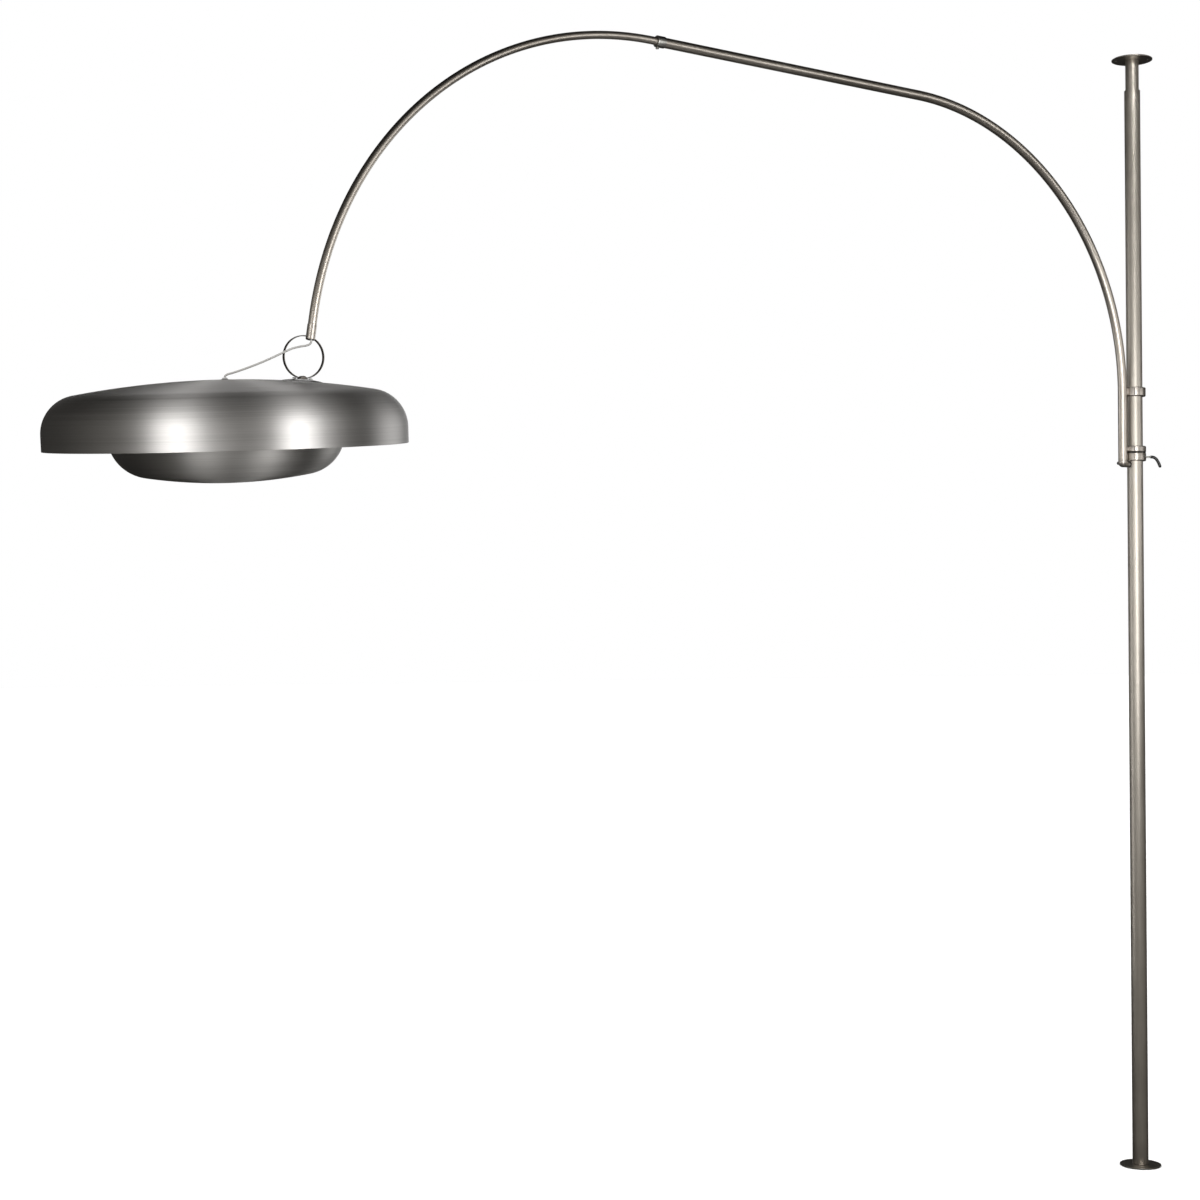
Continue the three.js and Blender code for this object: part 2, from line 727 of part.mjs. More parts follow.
function shadeProfile(offset) {
  const shoulder = arc([shadeRadius - shadeShoulder, shadeWallHeight], shadeShoulder - offset,
    0, 90 * degrees - shadeCrownSlope, 5);
  const crown = arc([0, crownCentre], crownRadius - offset, 90 * degrees - shadeCrownSlope,
    90 * degrees - Math.asin((rodRadius + gap) / crownRadius), 4);
  return [[shadeRadius - offset, 0], ...shoulder, ...crown.slice(1)];
}

function bowlProfile(offset) {
  const middle = bowlRadius - bowlShoulder;
  const reach = middle + bowlShoulder * Math.sin(bowlCrownSlope);
  const dish = reach / Math.sin(bowlCrownSlope);
  const dishCentre = bowlShoulderHeight + (dish - bowlShoulder) * Math.cos(bowlCrownSlope);
  const bottom = arc([0, dishCentre], dish - offset, -90 * degrees, -90 * degrees + bowlCrownSlope, 3);
  bottom[0][0] = 0;
  const shoulder = arc([middle, bowlShoulderHeight], bowlShoulder - offset,
    -90 * degrees + bowlCrownSlope, 0, 5);
  return [...bottom, ...shoulder.slice(1), [bowlRadius - offset, bowlRim]];
}
const bowlBottom = bowlProfile(0)[0][1];

// The shade's own frame: its axis is Z and its rim lies in the plane of zero height.
const baseTilt = Math.asin(ringOffset / crownRadius);
const baseHeight = crownCentre + crownRadius * Math.cos(baseTilt);
const ringRise = baseCrown + gap + ringThickness / 2 + ringRadius;
const ringInShade = new THREE.Vector3(
  ringOffset + ringRise * Math.sin(baseTilt),
  0,
  baseHeight + ringRise * Math.cos(baseTilt),
);

// Places a piece built on the crown's surface at the ring's base.
function onCrown(geometry) {
  return geometry.rotateY(baseTilt).translate(ringOffset, 0, baseHeight);
}

function addRingBase(shade) {
  piece('hanging_ring', band(0, fineSteps).translate(ringInShade.x, 0, ringInShade.z),
    finish.satinSteel, shade);

  const dip = (radius) => crownRadius - Math.sqrt(crownRadius ** 2 - radius ** 2);
  const rise = (radius) => baseEdge + (baseCrown - baseEdge) * (1 - (radius / baseRadius) ** 2);
  const plate = turned([
    [0, gap], [baseRadius / 2, gap - dip(baseRadius / 2)], [baseRadius, gap - dip(baseRadius)],
    ...[1, 0.8, 0.5, 0.25, 0].map((share) => [share * baseRadius, rise(share * baseRadius)]),
  ]);
  const lug = rod(lugRadius, -lugWidth / 2, lugWidth / 2, 24).rotateX(90 * degrees)
    .translate(0, 0, lugCentre);
  const under = new THREE.BoxGeometry(60, 60, 20).translate(0, 0, gap - 10);
  const slot = band(0.3, fineSteps).translate(0, 0, ringRise);
  const spots = [-baseScrewSpread, baseScrewSpread];
  const holes = (bottom, top) => spots.map((x) => rod(screwRadius + gap, bottom, top, 12)
    .translate(x, 0, 0));
  const lugged = join(plate, cut(lug, under));
  piece('ring_base', onCrown(cut(lugged, slot, ...holes(-3, 9))), finish.satinSteel, shade);

  const plateTop = -shadeSheet - backingGap - dip(backingRadius);
  const backing = rod(backingRadius, plateTop - backingThickness, plateTop);
  piece('backing_plate', onCrown(cut(backing, ...holes(-9, 1))), finish.zincSteel, shade);

  const seat = rise(baseScrewSpread - baseScrewHeadRadius) + gap;
  const shankEnd = plateTop - backingThickness - nutHeight - 1;
  const nutTop = plateTop - backingThickness - gap;
  spots.forEach((x, index) => {
    const screw = turned([
      [0, shankEnd], [screwRadius, shankEnd], [screwRadius, seat], [baseScrewHeadRadius, seat],
      [baseScrewHeadRadius, seat + 0.8], [baseScrewHeadRadius * 0.6, seat + baseScrewHeadHeight],
      [0, seat + baseScrewHeadHeight],
    ], 16).translate(x, 0, 0);
    piece(`base_screw_${index + 1}`, onCrown(screw), finish.zincSteel, shade);
    const nut = cut(hexagon(4.2, nutTop - nutHeight, nutTop),
      rod(screwRadius + gap, nutTop - nutHeight - 1, nutTop + 1, 12)).translate(x, 0, 0);
    piece(`base_nut_${index + 1}`, onCrown(nut), finish.zincSteel, shade);
  });
  return onCrown(join(...holes(-4, 4)));
}

function addShadeShell(shade, screwHoles) {
  const outline = [...shadeProfile(0), ...shadeProfile(shadeSheet).reverse()];
  piece('shade_dome', cut(turned(outline, fineSteps), screwHoles), finish.brushedAluminium, shade);
  const bowlOutline = [...bowlProfile(0), ...bowlProfile(bowlSheet).reverse()];
  piece('inner_bowl', turned(bowlOutline, fineSteps), finish.brushedAluminium, shade);
}

function addCentre(shade) {
  const flangeBottom = crownTop + gap;
  const rodTop = flangeBottom + rodFlangeHeight;
  const bossBottom = bowlBottom + bowlSheet + gap;
  const rodBottom = bossBottom + rodInBoss;
  piece('centre_nipple', turned([
    [rodBore, rodBottom], [rodRadius, rodBottom], [rodRadius, flangeBottom],
    [rodFlangeRadius, flangeBottom], [rodFlangeRadius - 0.5, rodTop], [rodBore, rodTop],
  ]), finish.zincSteel, shade);

  const grommetBottom = rodTop + gap;
  const grommetTop = grommetBottom + grommetHeight;
  piece('flex_grommet', turned([
    [flexRadius + gap, grommetBottom], [grommetRadius, grommetBottom],
    [grommetRadius - 0.8, grommetTop], [flexRadius + gap, grommetTop],
  ]), finish.whiteFlex, shade);

  const nutFor = (bottom, top) => cut(hexagon(lockNutRadius, bottom, top),
    rod(rodRadius + gap, bottom - 1, top + 1));
  const sag = crownRadius - Math.sqrt(crownRadius ** 2 - lockNutRadius ** 2);
  const underTop = crownTop - shadeSheet - sag - gap;
  piece('under_crown_nut', nutFor(underTop - nutHeight, underTop), finish.zincSteel, shade);

  const cupBottom = crownTop - terminalCupDrop;
  const cupTop = cupBottom + terminalCupHeight;
  const cup = turned([
    [rodRadius + gap, cupBottom], [terminalCupRadius - 3, cupBottom],
    [terminalCupRadius, cupTop], [terminalCupRadius - carrierWall, cupTop],
    [terminalCupRadius - 3 - carrierWall, cupBottom + carrierWall],
    [rodRadius + gap, cupBottom + carrierWall],
  ]);
  piece('terminal_cup', cup, finish.zincSteel, shade);
  const block = new THREE.BoxGeometry(terminalBlock.x, terminalBlock.y, terminalBlock.z)
    .translate(0, rodRadius + terminalBlock.y / 2 + 2, cupBottom + carrierWall + gap
      + terminalBlock.z / 2);
  piece('terminal_block', block, finish.porcelain, shade);

  const carrier = turned([
    [rodRadius + gap, carrierTop - carrierWall], [carrierRadius - carrierWall, carrierTop - carrierWall],
    [carrierRadius - carrierWall, carrierBottom], [carrierRadius, carrierBottom],
    [carrierRadius, carrierTop], [rodRadius + gap, carrierTop],
  ]);
  piece('lamp_carrier', carrier, finish.zincSteel, shade);
  piece('carrier_nut', nutFor(carrierTop + gap, carrierTop + gap + nutHeight), finish.zincSteel, shade);

  const bossTop = bossBottom + bowlBossHeight;
  const boss = cut(turned([
    [0, bossBottom], [bowlBossRadius * 0.6, bossBottom + 0.3], [bowlBossRadius, bossBottom + 0.8],
    [bowlBossRadius, bossTop - 3], [lockNutRadius + 2, bossTop], [0, bossTop],
  ]), rod(rodRadius + gap, rodBottom - gap, bossTop + 1, 20));
  piece('bowl_boss', boss, finish.zincSteel, shade);
  const bowlNutBottom = bossTop + gap;
  piece('bowl_lock_nut', nutFor(bowlNutBottom, bowlNutBottom + nutHeight), finish.zincSteel, shade);
}

function addLamps(shade) {
  const holderStart = carrierRadius + gap + 1;
  const holderEnd = holderStart + holderLength;
  const bulbStart = holderEnd - bulbBaseDepth;
  const bulbMiddle = bulbStart + bulbBaseDepth + bulbNeckLength + bulbRadius * 0.7;
  const outer = arc([0, bulbMiddle], bulbRadius, -60 * degrees, 90 * degrees, bulbSteps);
  const inner = arc([0, bulbMiddle], bulbRadius - bulbWall, -60 * degrees, 90 * degrees, bulbSteps);
  outer[bulbSteps][0] = 0;
  inner[bulbSteps][0] = 0;
  const glass = [
    [bulbNeck - bulbWall, bulbStart], [bulbNeck, bulbStart], [bulbNeck, bulbStart + bulbBaseDepth],
    ...outer, ...inner.reverse(), [bulbNeck - bulbWall, bulbStart + bulbBaseDepth],
  ];
  const holder = [
    [0, holderStart], [holderRadius - 4, holderStart], [holderRadius, holderStart + 8],
    [holderRadius, holderEnd], [bulbNeck + 1, holderEnd], [bulbNeck + 1, bulbStart - 1],
    [0, bulbStart - 1],
  ];
  for (let i = 0; i < lampCount; i += 1) {
    const azimuth = lampAzimuth + (2 * Math.PI * i) / lampCount;
    const lay = (geometry) => geometry.rotateY(90 * degrees).rotateZ(azimuth)
      .translate(0, 0, lampHeight);
    piece(`lampholder_${i + 1}`, lay(turned(holder, lampSides)), finish.porcelain, shade);
    piece(`bulb_${i + 1}`, lay(turnedOpen(glass)), finish.opalGlass, shade);
  }
}

// A hollow bulb's profile touches the axis in its middle, so its outline stays a loop.
function turnedOpen(profile) {
  const points = profile.map(([radius, height]) => new THREE.Vector2(radius, height));
  points.push(points[0].clone());
  return closedMesh(new THREE.LatheGeometry(points, lampSides)).rotateX(90 * degrees);
}

function addShade(lamp) {
  const shade = new THREE.Group();
  shade.rotation.set(shadeRoll, shadePitch, 0, 'XYZ');
  const hung = ringInShade.clone().applyEuler(shade.rotation);
  shade.position.copy(ringCentre).sub(hung);
  lamp.add(shade);
  const screwHoles = addRingBase(shade);
  addShadeShell(shade, screwHoles);
  addCentre(shade);
  addLamps(shade);
  return shade;
}

// ---- Free flex ------------------------------------------------------------------------------

// From the mouth of the tip, in front of the ring's band and down to the middle of the crown.
const shadeFlexPoints = [
  [-2161.8, -6.3, 1854.0], [-2162.7, -6.4, 1850.6], [-2166.0, -6.6, 1847.0], [-2173.5, -6.8, 1844.2],
  [-2186.0, -6.9, 1841.4], [-2202.0, -6.8, 1836.4], [-2219.0, -6.2, 1828.2], [-2238.0, -4.6, 1818.4],
  [-2257.0, -2.4, 1809.0], [-2275.0, 0.2, 1800.8], [-2292.0, 2.8, 1793.6], [-2307.0, 5.1, 1787.6],
  [-2318.0, 6.7, 1783.6], [-2326.4, 7.8, 1780.8], [-2330.7, 8.2, 1777.8], [-2331.7, 8.3, 1774.9],
];

function addShadeFlex(lamp) {
  const run = new THREE.CatmullRomCurve3(shadeFlexPoints.map((point) => new THREE.Vector3(...point)));
  piece('shade_flex', piped(run, flexRadius, 30, 8), finish.whiteFlex, lamp);
}

// ---- Assembly -------------------------------------------------------------------------------

const lamp = new THREE.Group();
lamp.name = 'ceiling_pole_arc_lamp';
addPole(lamp);
addUpperPole(lamp);
addClamp(lamp);
addArmRoot(lamp);
addFoot(lamp);
addCoupling(lamp);
addFrontArm(lamp);
addTip(lamp);
addShade(lamp);
addShadeFlex(lamp);

export default lamp;
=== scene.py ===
"""Looks of a floor-to-ceiling arc lamp: a sprung pole, a bent telescopic arm that turns on it, and a
wide spun aluminium shade that hangs from the arm's tip by a flat ring."""

import json
import math

import bmesh
import bpy
import numpy as np
from mathutils import Matrix, Vector


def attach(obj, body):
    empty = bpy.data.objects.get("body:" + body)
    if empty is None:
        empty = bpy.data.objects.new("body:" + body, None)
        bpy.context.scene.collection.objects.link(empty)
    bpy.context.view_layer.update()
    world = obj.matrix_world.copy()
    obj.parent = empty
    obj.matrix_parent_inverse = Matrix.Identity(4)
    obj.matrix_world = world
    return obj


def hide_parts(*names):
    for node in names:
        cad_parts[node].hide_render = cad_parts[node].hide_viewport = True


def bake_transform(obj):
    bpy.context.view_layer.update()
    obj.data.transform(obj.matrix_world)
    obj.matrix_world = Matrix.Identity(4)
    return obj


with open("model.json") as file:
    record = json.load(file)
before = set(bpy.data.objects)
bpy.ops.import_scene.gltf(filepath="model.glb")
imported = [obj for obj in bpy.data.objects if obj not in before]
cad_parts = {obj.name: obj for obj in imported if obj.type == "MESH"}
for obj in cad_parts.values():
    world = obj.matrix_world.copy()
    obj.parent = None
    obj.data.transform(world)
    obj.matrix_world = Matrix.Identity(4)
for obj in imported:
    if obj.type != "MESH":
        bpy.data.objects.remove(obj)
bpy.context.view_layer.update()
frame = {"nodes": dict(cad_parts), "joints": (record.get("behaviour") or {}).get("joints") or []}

# ---- Sizes, in millimetres ------------------------------------------------------------------

MM = 0.001
TAU = 2 * math.pi
DEG = math.pi / 180
GAP = 0.3

POLE_RADIUS, POLE_BORE, POLE_FOOT, POLE_TOP, POLE_EDGE = 19.0, 17.5, 3.4, 2622.0, 1.1
UPPER_RADIUS, UPPER_BORE, UPPER_FOOT, UPPER_TOP, UPPER_EDGE = 16.0, 14.5, 2300.0, 2696.6, 0.3
BORE_EDGE = 0.2
DISC_RADIUS, DISC_EDGE, DISC_THICKNESS = 49.0, 0.6, 2.0
DISC_HOLE_RADIUS, DISC_HOLE_CIRCLE, DISC_HOLE_AZIMUTH = 2.8, 37.0, -40 * DEG
PAD_RADIUS, PAD_THICKNESS, PAD_EDGE = 47.0, 0.8, 0.2
SPIGOT_LENGTH = 30.0
CEILING = 2700.0

COLLAR_RADIUS, COLLAR_BORE, COLLAR_EDGE = 26.5, 19.4, 2.0
LINER_WALL = 1.0
SEAM_WIDTH, SEAM_AZIMUTH = 1.6, 226 * DEG
CLAMP_FOOT, CLAMP_HEIGHT = 1711.5, 19.5
LOWER_COLLAR_FOOT, LOWER_COLLAR_HEIGHT = 1733.0, 14.5
UPPER_COLLAR_FOOT, UPPER_COLLAR_HEIGHT = 1869.5, 21.5
BRIDGE_WIDTH, BRIDGE_EDGE, BRIDGE_OVERLAP = 14.0, 1.2, 4.0
LEVER_AZIMUTH, LEVER_HEIGHT = -35 * DEG, 1721.25
STUD_RADIUS, STUD_START, THREAD_END, STUD_END = 2.5, 22.4, 32.0, 42.0
THREAD_STEP, THREAD_DEPTH = 0.4, 0.12
GRIP_RADIUS, GRIP_EDGE = 3.6, 0.6
GRIP_CURVE = np.array([(37.0, 0.0), (50.2, 1.5), (55.0, -9.1), (61.0, -26.0)])  # out, up

ARM_OFFSET = 40.0
REAR_RADIUS, REAR_BORE, REAR_EDGE = 11.0, 9.5, 0.5
RISER_FOOT, RISER_TOP = 1710.3, 1878.0
REAR_BEND, REAR_TURN, REAR_STRAIGHT = 648.0, 88 * DEG, 700.0
FRONT_RADIUS, FRONT_BORE, FRONT_EDGE = 8.5, 7.5, 0.4
FRONT_TAIL, FRONT_NECK = 380.0, 8.0
FRONT_BEND, FRONT_TURN, FRONT_TIP = 755.0, 84.1 * DEG, 30.0
COUPLING_RADIUS, COUPLING_BACK, COUPLING_LIP = 12.5, -12.0, 8.0

RING_RADIUS, RING_BAND, RING_THICKNESS = 41.0, 8.0, 2.0
SHADE_ROLL, SHADE_PITCH = 5.4 * DEG, -4.5 * DEG
SHADE_RADIUS, SHADE_WALL, SHADE_SHOULDER, SHADE_SLOPE = 344.0, 31.0, 74.0, 9.7 * DEG
SHEET, SHEET_EDGE = 1.2, 0.4
CROWN_HOLE = 5.3
RING_OFFSET = 157.0
BASE_RADIUS, BASE_LIP, BASE_EDGE, BASE_CROWN = 40.0, 0.6, 0.9, 5.5
LUG_RADIUS, LUG_WIDTH, LUG_CENTRE, LUG_EDGE = 9.0, 13.0, 2.5, 0.8
BOWL_RADIUS, BOWL_SHOULDER, BOWL_SLOPE = 223.0, 80.0, 10 * DEG
BOWL_SHOULDER_HEIGHT, BOWL_RIM = 24.5, 27.0
FLEX_RADIUS, FLEX_ROWS = 2.0, 161
SMALL_EDGE = 0.2
FLOOR_HALF, FLOOR_LEVEL = 60000.0, -1.0

# ---- Mesh limits, in metres and radians ----------------------------------------------------

MEET, SLIVER = 2e-6, 1e-7
COPY_MEET, COPY_FLAT = 1e-6, 0.5 * DEG
CREASE, COPY_CREASE = 38 * DEG, 30 * DEG
ARC_STEPS = 5
POLE_ROWS, ARM_ROWS = 60.0, 14.0  # millimetres between rows along a tube

# The flex from the mouth of the tip to the middle of the crown.
FLEX_ROUTE = np.array([
    (-2161.4, -6.3, 1857.0),
    (-2161.8, -6.3, 1854.0), (-2162.7, -6.4, 1850.6), (-2166.0, -6.6, 1847.0), (-2173.5, -6.8, 1844.2),
    (-2186.0, -6.9, 1841.4), (-2202.0, -6.8, 1836.4), (-2219.0, -6.2, 1828.2), (-2238.0, -4.6, 1818.4),
    (-2257.0, -2.4, 1809.0), (-2275.0, 0.2, 1800.8), (-2292.0, 2.8, 1793.6), (-2307.0, 5.1, 1787.6),
    (-2318.0, 6.7, 1783.6), (-2326.4, 7.8, 1780.8), (-2330.7, 8.2, 1777.8), (-2331.7, 8.3, 1774.9),
])

# ---- Camera ---------------------------------------------------------------------------------

CAMERA_PLACE = Vector((-3.73506, -3.82263, 1.26469))
CAMERA_HEADING, CAMERA_PITCH, CAMERA_ROLL = 30.156 * DEG, 1.2225 * DEG, -0.1446 * DEG
SENSOR_WIDTH, FOCAL_SHARE = 36, 1.7685  # millimetres, and focal length over sensor width
FAR_LIMIT = 200


def add_camera():
    """A camera that looks CAMERA_HEADING from +Y towards +X, pitched up and rolled."""
    data = bpy.data.cameras.new("camera")
    data.sensor_width = SENSOR_WIDTH
    data.lens = SENSOR_WIDTH * FOCAL_SHARE
    data.clip_end = FAR_LIMIT
    camera = bpy.data.objects.new("camera", data)
    turn = Matrix.Rotation(-CAMERA_HEADING, 4, "Z") @ Matrix.Rotation(math.pi / 2 + CAMERA_PITCH, 4, "X")
    turn = turn @ Matrix.Rotation(CAMERA_ROLL, 4, "Z")
    camera.matrix_world = Matrix.Translation(CAMERA_PLACE) @ turn
    bpy.context.scene.collection.objects.link(camera)
    bpy.context.scene.camera = camera


add_camera()

# ---- Paths ----------------------------------------------------------------------------------

# A path is a function from lengths along it to places and two unit vectors across it.


def straight(origin, direction, across):
    """Place = origin + length times direction; the vectors across are the same all along."""
    origin, direction, across = (np.array(v, float) for v in (origin, direction, across))
    other = np.cross(direction, across)

    def path(s):
        place = origin + np.asarray(s, float)[:, None] * direction
        return place, np.broadcast_to(across, place.shape), np.broadcast_to(other, place.shape)

    return path


def bent(start, heading, legs):
    """Straight legs (length, None) and bends (radius, turn) in the XZ plane, one after the other.
    Along a bend the heading grows evenly with length and the place runs on a circle. Gives the path,
    its length, and the place and heading of its end."""
    ends, places, headings = [0.0], [np.array(start, float)], [heading]

    def leg_points(leg, place, angle, s):
        size, turn = leg
        s = np.asarray(s, float)
        if turn is None:
            a = np.full(s.shape, angle)
            return place + s[:, None] * np.array([-math.sin(angle), 0, math.cos(angle)]), a
        a = angle + s / size
        side = np.stack([np.cos(a) - math.cos(angle), 0 * a, np.sin(a) - math.sin(angle)], -1)
        return place + size * side, a

    for leg in legs:
        length = leg[0] if leg[1] is None else leg[0] * leg[1]
        place, angle = leg_points(leg, places[-1], headings[-1], np.array([length]))
        ends.append(ends[-1] + length)
        places.append(place[0])
        headings.append(float(angle[0]))

    def path(s):
        s = np.asarray(s, float)
        which = np.clip(np.searchsorted(ends, s, side="right") - 1, 0, len(legs) - 1)
        place, angle = np.zeros((len(s), 3)), np.zeros(len(s))
        for k, leg in enumerate(legs):
            on = which == k
            place[on], angle[on] = leg_points(leg, places[k], headings[k], s[on] - ends[k])
        inward = np.stack([-np.cos(angle), 0 * angle, -np.sin(angle)], -1)
        return place, inward, np.broadcast_to((0.0, 1.0, 0.0), (len(s), 3))

    return path, ends[-1], places[-1], headings[-1]


def through(points):
    """A Catmull-Rom line through the points: between two of them each coordinate is the cubic whose
    slopes at its ends are half the span of the neighbours. The frame is carried along without twist."""
    points = np.array(points, float)
    padded = np.concatenate([[2 * points[0] - points[1]], points, [2 * points[-1] - points[-2]]])
    count = len(points) - 1
    u = np.linspace(0, count, 16 * count + 1)
    k = np.minimum(u.astype(int), count - 1)
    t = (u - k)[:, None]
    a, b, c, d = (padded[k + i] for i in range(4))
    line = 0.5 * (2 * b + (c - a) * t + (2 * a - 5 * b + 4 * c - d) * t**2 + (3 * b - a - 3 * c + d) * t**3)
    along = np.concatenate([[0], np.cumsum(np.linalg.norm(np.diff(line, axis=0), axis=1))])
    tangents = np.gradient(line, along, axis=0)
    tangents /= np.linalg.norm(tangents, axis=1)[:, None]
    across = [np.cross(tangents[0], (0.3, 1.0, 0.2))]
    for tangent in tangents:
        side = across[-1] - np.dot(across[-1], tangent) * tangent
        across.append(side / np.linalg.norm(side))
    across = np.array(across[1:])

    def sample(values, s):
        return np.stack([np.interp(s, along, values[:, i]) for i in range(3)], -1)

    def path(s):
        n = sample(across, s)
        n /= np.linalg.norm(n, axis=1)[:, None]
        return sample(line, s), n, np.cross(sample(tangents, s), n)

    return path, along[-1], line


# ---- Profiles -------------------------------------------------------------------------------

def rounded(corners, radius, closed=True):
    """A profile whose corners are arcs of the radius, tangent to both sides. Each corner may have its
    own radius, which a third number in it gives, and a short side limits it."""
    points = [np.array(c[:2], float) for c in corners]
    radii = [c[2] if len(c) > 2 else radius for c in corners]
    out = []
    count = len(points)
    for i, corner in enumerate(points):
        if radii[i] <= 0 or (not closed and i in (0, count - 1)):
            out.append(corner)
            continue
        before, after = points[i - 1] - corner, points[(i + 1) % count] - corner
        la, lb = np.linalg.norm(before), np.linalg.norm(after)
        before, after = before / la, after / lb
        half = math.acos(float(np.clip(before @ after, -1, 1))) / 2
        if half > 0.49 * math.pi:
            out.append(corner)
            continue
        reach = min(radii[i] / math.tan(half), 0.45 * la, 0.45 * lb)
        size = reach * math.tan(half)
        middle = corner + (before + after) / np.linalg.norm(before + after) * size / math.sin(half)
        first, last = corner + before * reach - middle, corner + after * reach - middle
        t = np.linspace(0, 1, ARC_STEPS + 1)[:, None]
        turn = math.pi - 2 * half
        arc = (np.sin((1 - t) * turn) * first + np.sin(t * turn) * last) / math.sin(turn)
        out.extend(middle + arc)
    out = np.array(out)
    return np.concatenate([out, out[:1]]) if closed else out


def dense(profile, step):
    """The same profile with every side longer than the step cut into equal shorter ones."""
    profile = np.asarray(profile, float)
    parts = [profile[:1]]
    for a, b in zip(profile[:-1], profile[1:]):
        count = max(1, math.ceil(np.linalg.norm(b - a) / step))
        parts.append(a + np.linspace(0, 1, count + 1)[1:, None] * (b - a))
    return np.concatenate(parts)


def arc(centre, radius, start, end, count):
    """Points (r, z) on a circle, evenly from one angle to the other."""
    angles = np.linspace(start, end, count + 1)
    return np.stack([centre[0] + radius * np.cos(angles), centre[1] + radius * np.sin(angles)], -1)


# ---- Surfaces -------------------------------------------------------------------------------

# A patch is a grid of places and a grid of surface coordinates in metres: round, then along.


def round_path(path, profile, sides, start=0.0, end=TAU):
    """A profile of (radius, length along the path) turned about the path:
    place = path(length) + radius times (cos angle, sin angle) in the two vectors across."""
    radius, length = profile[:, 0], profile[:, 1]
    place, across, other = path(length)
    angle = np.linspace(start, end, sides + 1)[:, None, None]
    grid = place + radius[:, None] * (np.cos(angle) * across + np.sin(angle) * other)
    run = np.concatenate([[0], np.cumsum(np.linalg.norm(np.diff(profile, axis=0), axis=1))])
    size = max(radius.max(), 1.0)
    u = np.broadcast_to(angle[:, :, 0] * size * MM, grid.shape[:2])
    v = np.broadcast_to(run * MM, grid.shape[:2])
    return grid, np.stack([u, v], -1)


def flat_patch(grid):
    """A patch whose surface coordinates are its own X and Y places."""
    return grid, grid[..., :2] * MM


def carried(start, end):
    """A closed section joined straight to another one: place = start + t (end - start)."""
    t = np.linspace(0, 1, 3)[:, None, None]
    grid = start + t * (end - start)
    return grid, np.stack(np.broadcast_arrays(t[..., 0] * 0.02, np.arange(len(start)) * 0.001), -1)


def capped(loop):
    """A lid on a closed loop: place = loop + t (middle of the loop - loop)."""
    t = np.linspace(0, 1, 3)[:, None, None]
    return flat_patch(loop + t * (loop[:-1].mean(0) - loop))


Z_AXIS = straight((0, 0, 0), (0, 0, 1), (1, 0, 0))


def build_mesh(name, patches, move=None):
    """One mesh from grids of places in millimetres. Edges that meet are merged, so seams and poles
    close, faces are turned outwards, and edges sharper than the crease stay sharp."""
    points, faces, uvs, offset = [], [], [], 0
    for grid, uv in patches:
        rows, columns = grid.shape[:2]
        index = np.arange(rows * columns).reshape(rows, columns) + offset
        quads = np.stack([index[:-1, :-1], index[1:, :-1], index[1:, 1:], index[:-1, 1:]], -1).reshape(-1, 4)
        points.append(grid.reshape(-1, 3))
        faces.append(quads)
        uvs.append(uv.reshape(-1, 2))
        offset += rows * columns
    points, faces, uvs = (np.concatenate(part) for part in (points, faces, uvs))
    if move is not None:
        turn = np.array(move)
        points = points @ turn[:3, :3].T + turn[:3, 3]
    mesh = bpy.data.meshes.new(name)
    mesh.from_pydata(points * MM, [], faces)
    layer = mesh.uv_layers.new(name="surface")
    layer.data.foreach_set("uv", uvs[faces.reshape(-1)].astype(np.float32).reshape(-1))
    tidy = bmesh.new()
    tidy.from_mesh(mesh)
    bmesh.ops.remove_doubles(tidy, verts=tidy.verts, dist=MEET)
    bmesh.ops.dissolve_degenerate(tidy, edges=tidy.edges, dist=SLIVER)
    bmesh.ops.recalc_face_normals(tidy, faces=tidy.faces)
    tidy.to_mesh(mesh)
    tidy.free()
    mesh.shade_smooth()
    mesh.set_sharp_from_angle(angle=CREASE)
    return mesh


def place_piece(name, mesh, material, body, replaced):
    """Links a mesh as a piece that rides on a body and stands for CAD nodes."""
    piece = bpy.data.objects.new(name, mesh)
    bpy.context.scene.collection.objects.link(piece)
    mesh.materials.clear()
    mesh.materials.append(material)
    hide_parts(*replaced)
    if body:
        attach(piece, body)
    return piece


def smooth_copy(node, material, body, edge):
    """A merged copy of a CAD node, shaded smooth, its sharp edges rounded by a bevel of the given
    width in millimetres."""
    mesh = frame["nodes"][node].data.copy()
    tidy = bmesh.new()
    tidy.from_mesh(mesh)
    bmesh.ops.remove_doubles(tidy, verts=tidy.verts, dist=COPY_MEET)
    bmesh.ops.dissolve_limit(tidy, angle_limit=COPY_FLAT, verts=tidy.verts, edges=tidy.edges)
    tidy.to_mesh(mesh)
    tidy.free()
    mesh.shade_smooth()
    mesh.set_sharp_from_angle(angle=COPY_CREASE)
    piece = place_piece(f"{node}_finished", mesh, material, body, [node])
    if edge:
        bevel = piece.modifiers.new("edge", "BEVEL")
        bevel.width = edge * MM
        bevel.segments = 2
        bevel.limit_method = "ANGLE"
        bevel.angle_limit = COPY_CREASE
        bevel.harden_normals = True


# ---- Materials ------------------------------------------------------------------------------

SOFTNESS = 0.6  # how much the finer octaves of a pattern count


def linear(colour):
    """A hex sRGB colour as linear red, green, blue and full alpha."""
    values = [int(colour[i:i + 2], 16) / 255 for i in (1, 3, 5)]
    return [v / 12.92 if v <= 0.04045 else ((v + 0.055) / 1.055) ** 2.4 for v in values] + [1.0]


def per_metre(size):
    """How many marks of a size in millimetres lie side by side in a metre."""
    return 1 / (size * MM)


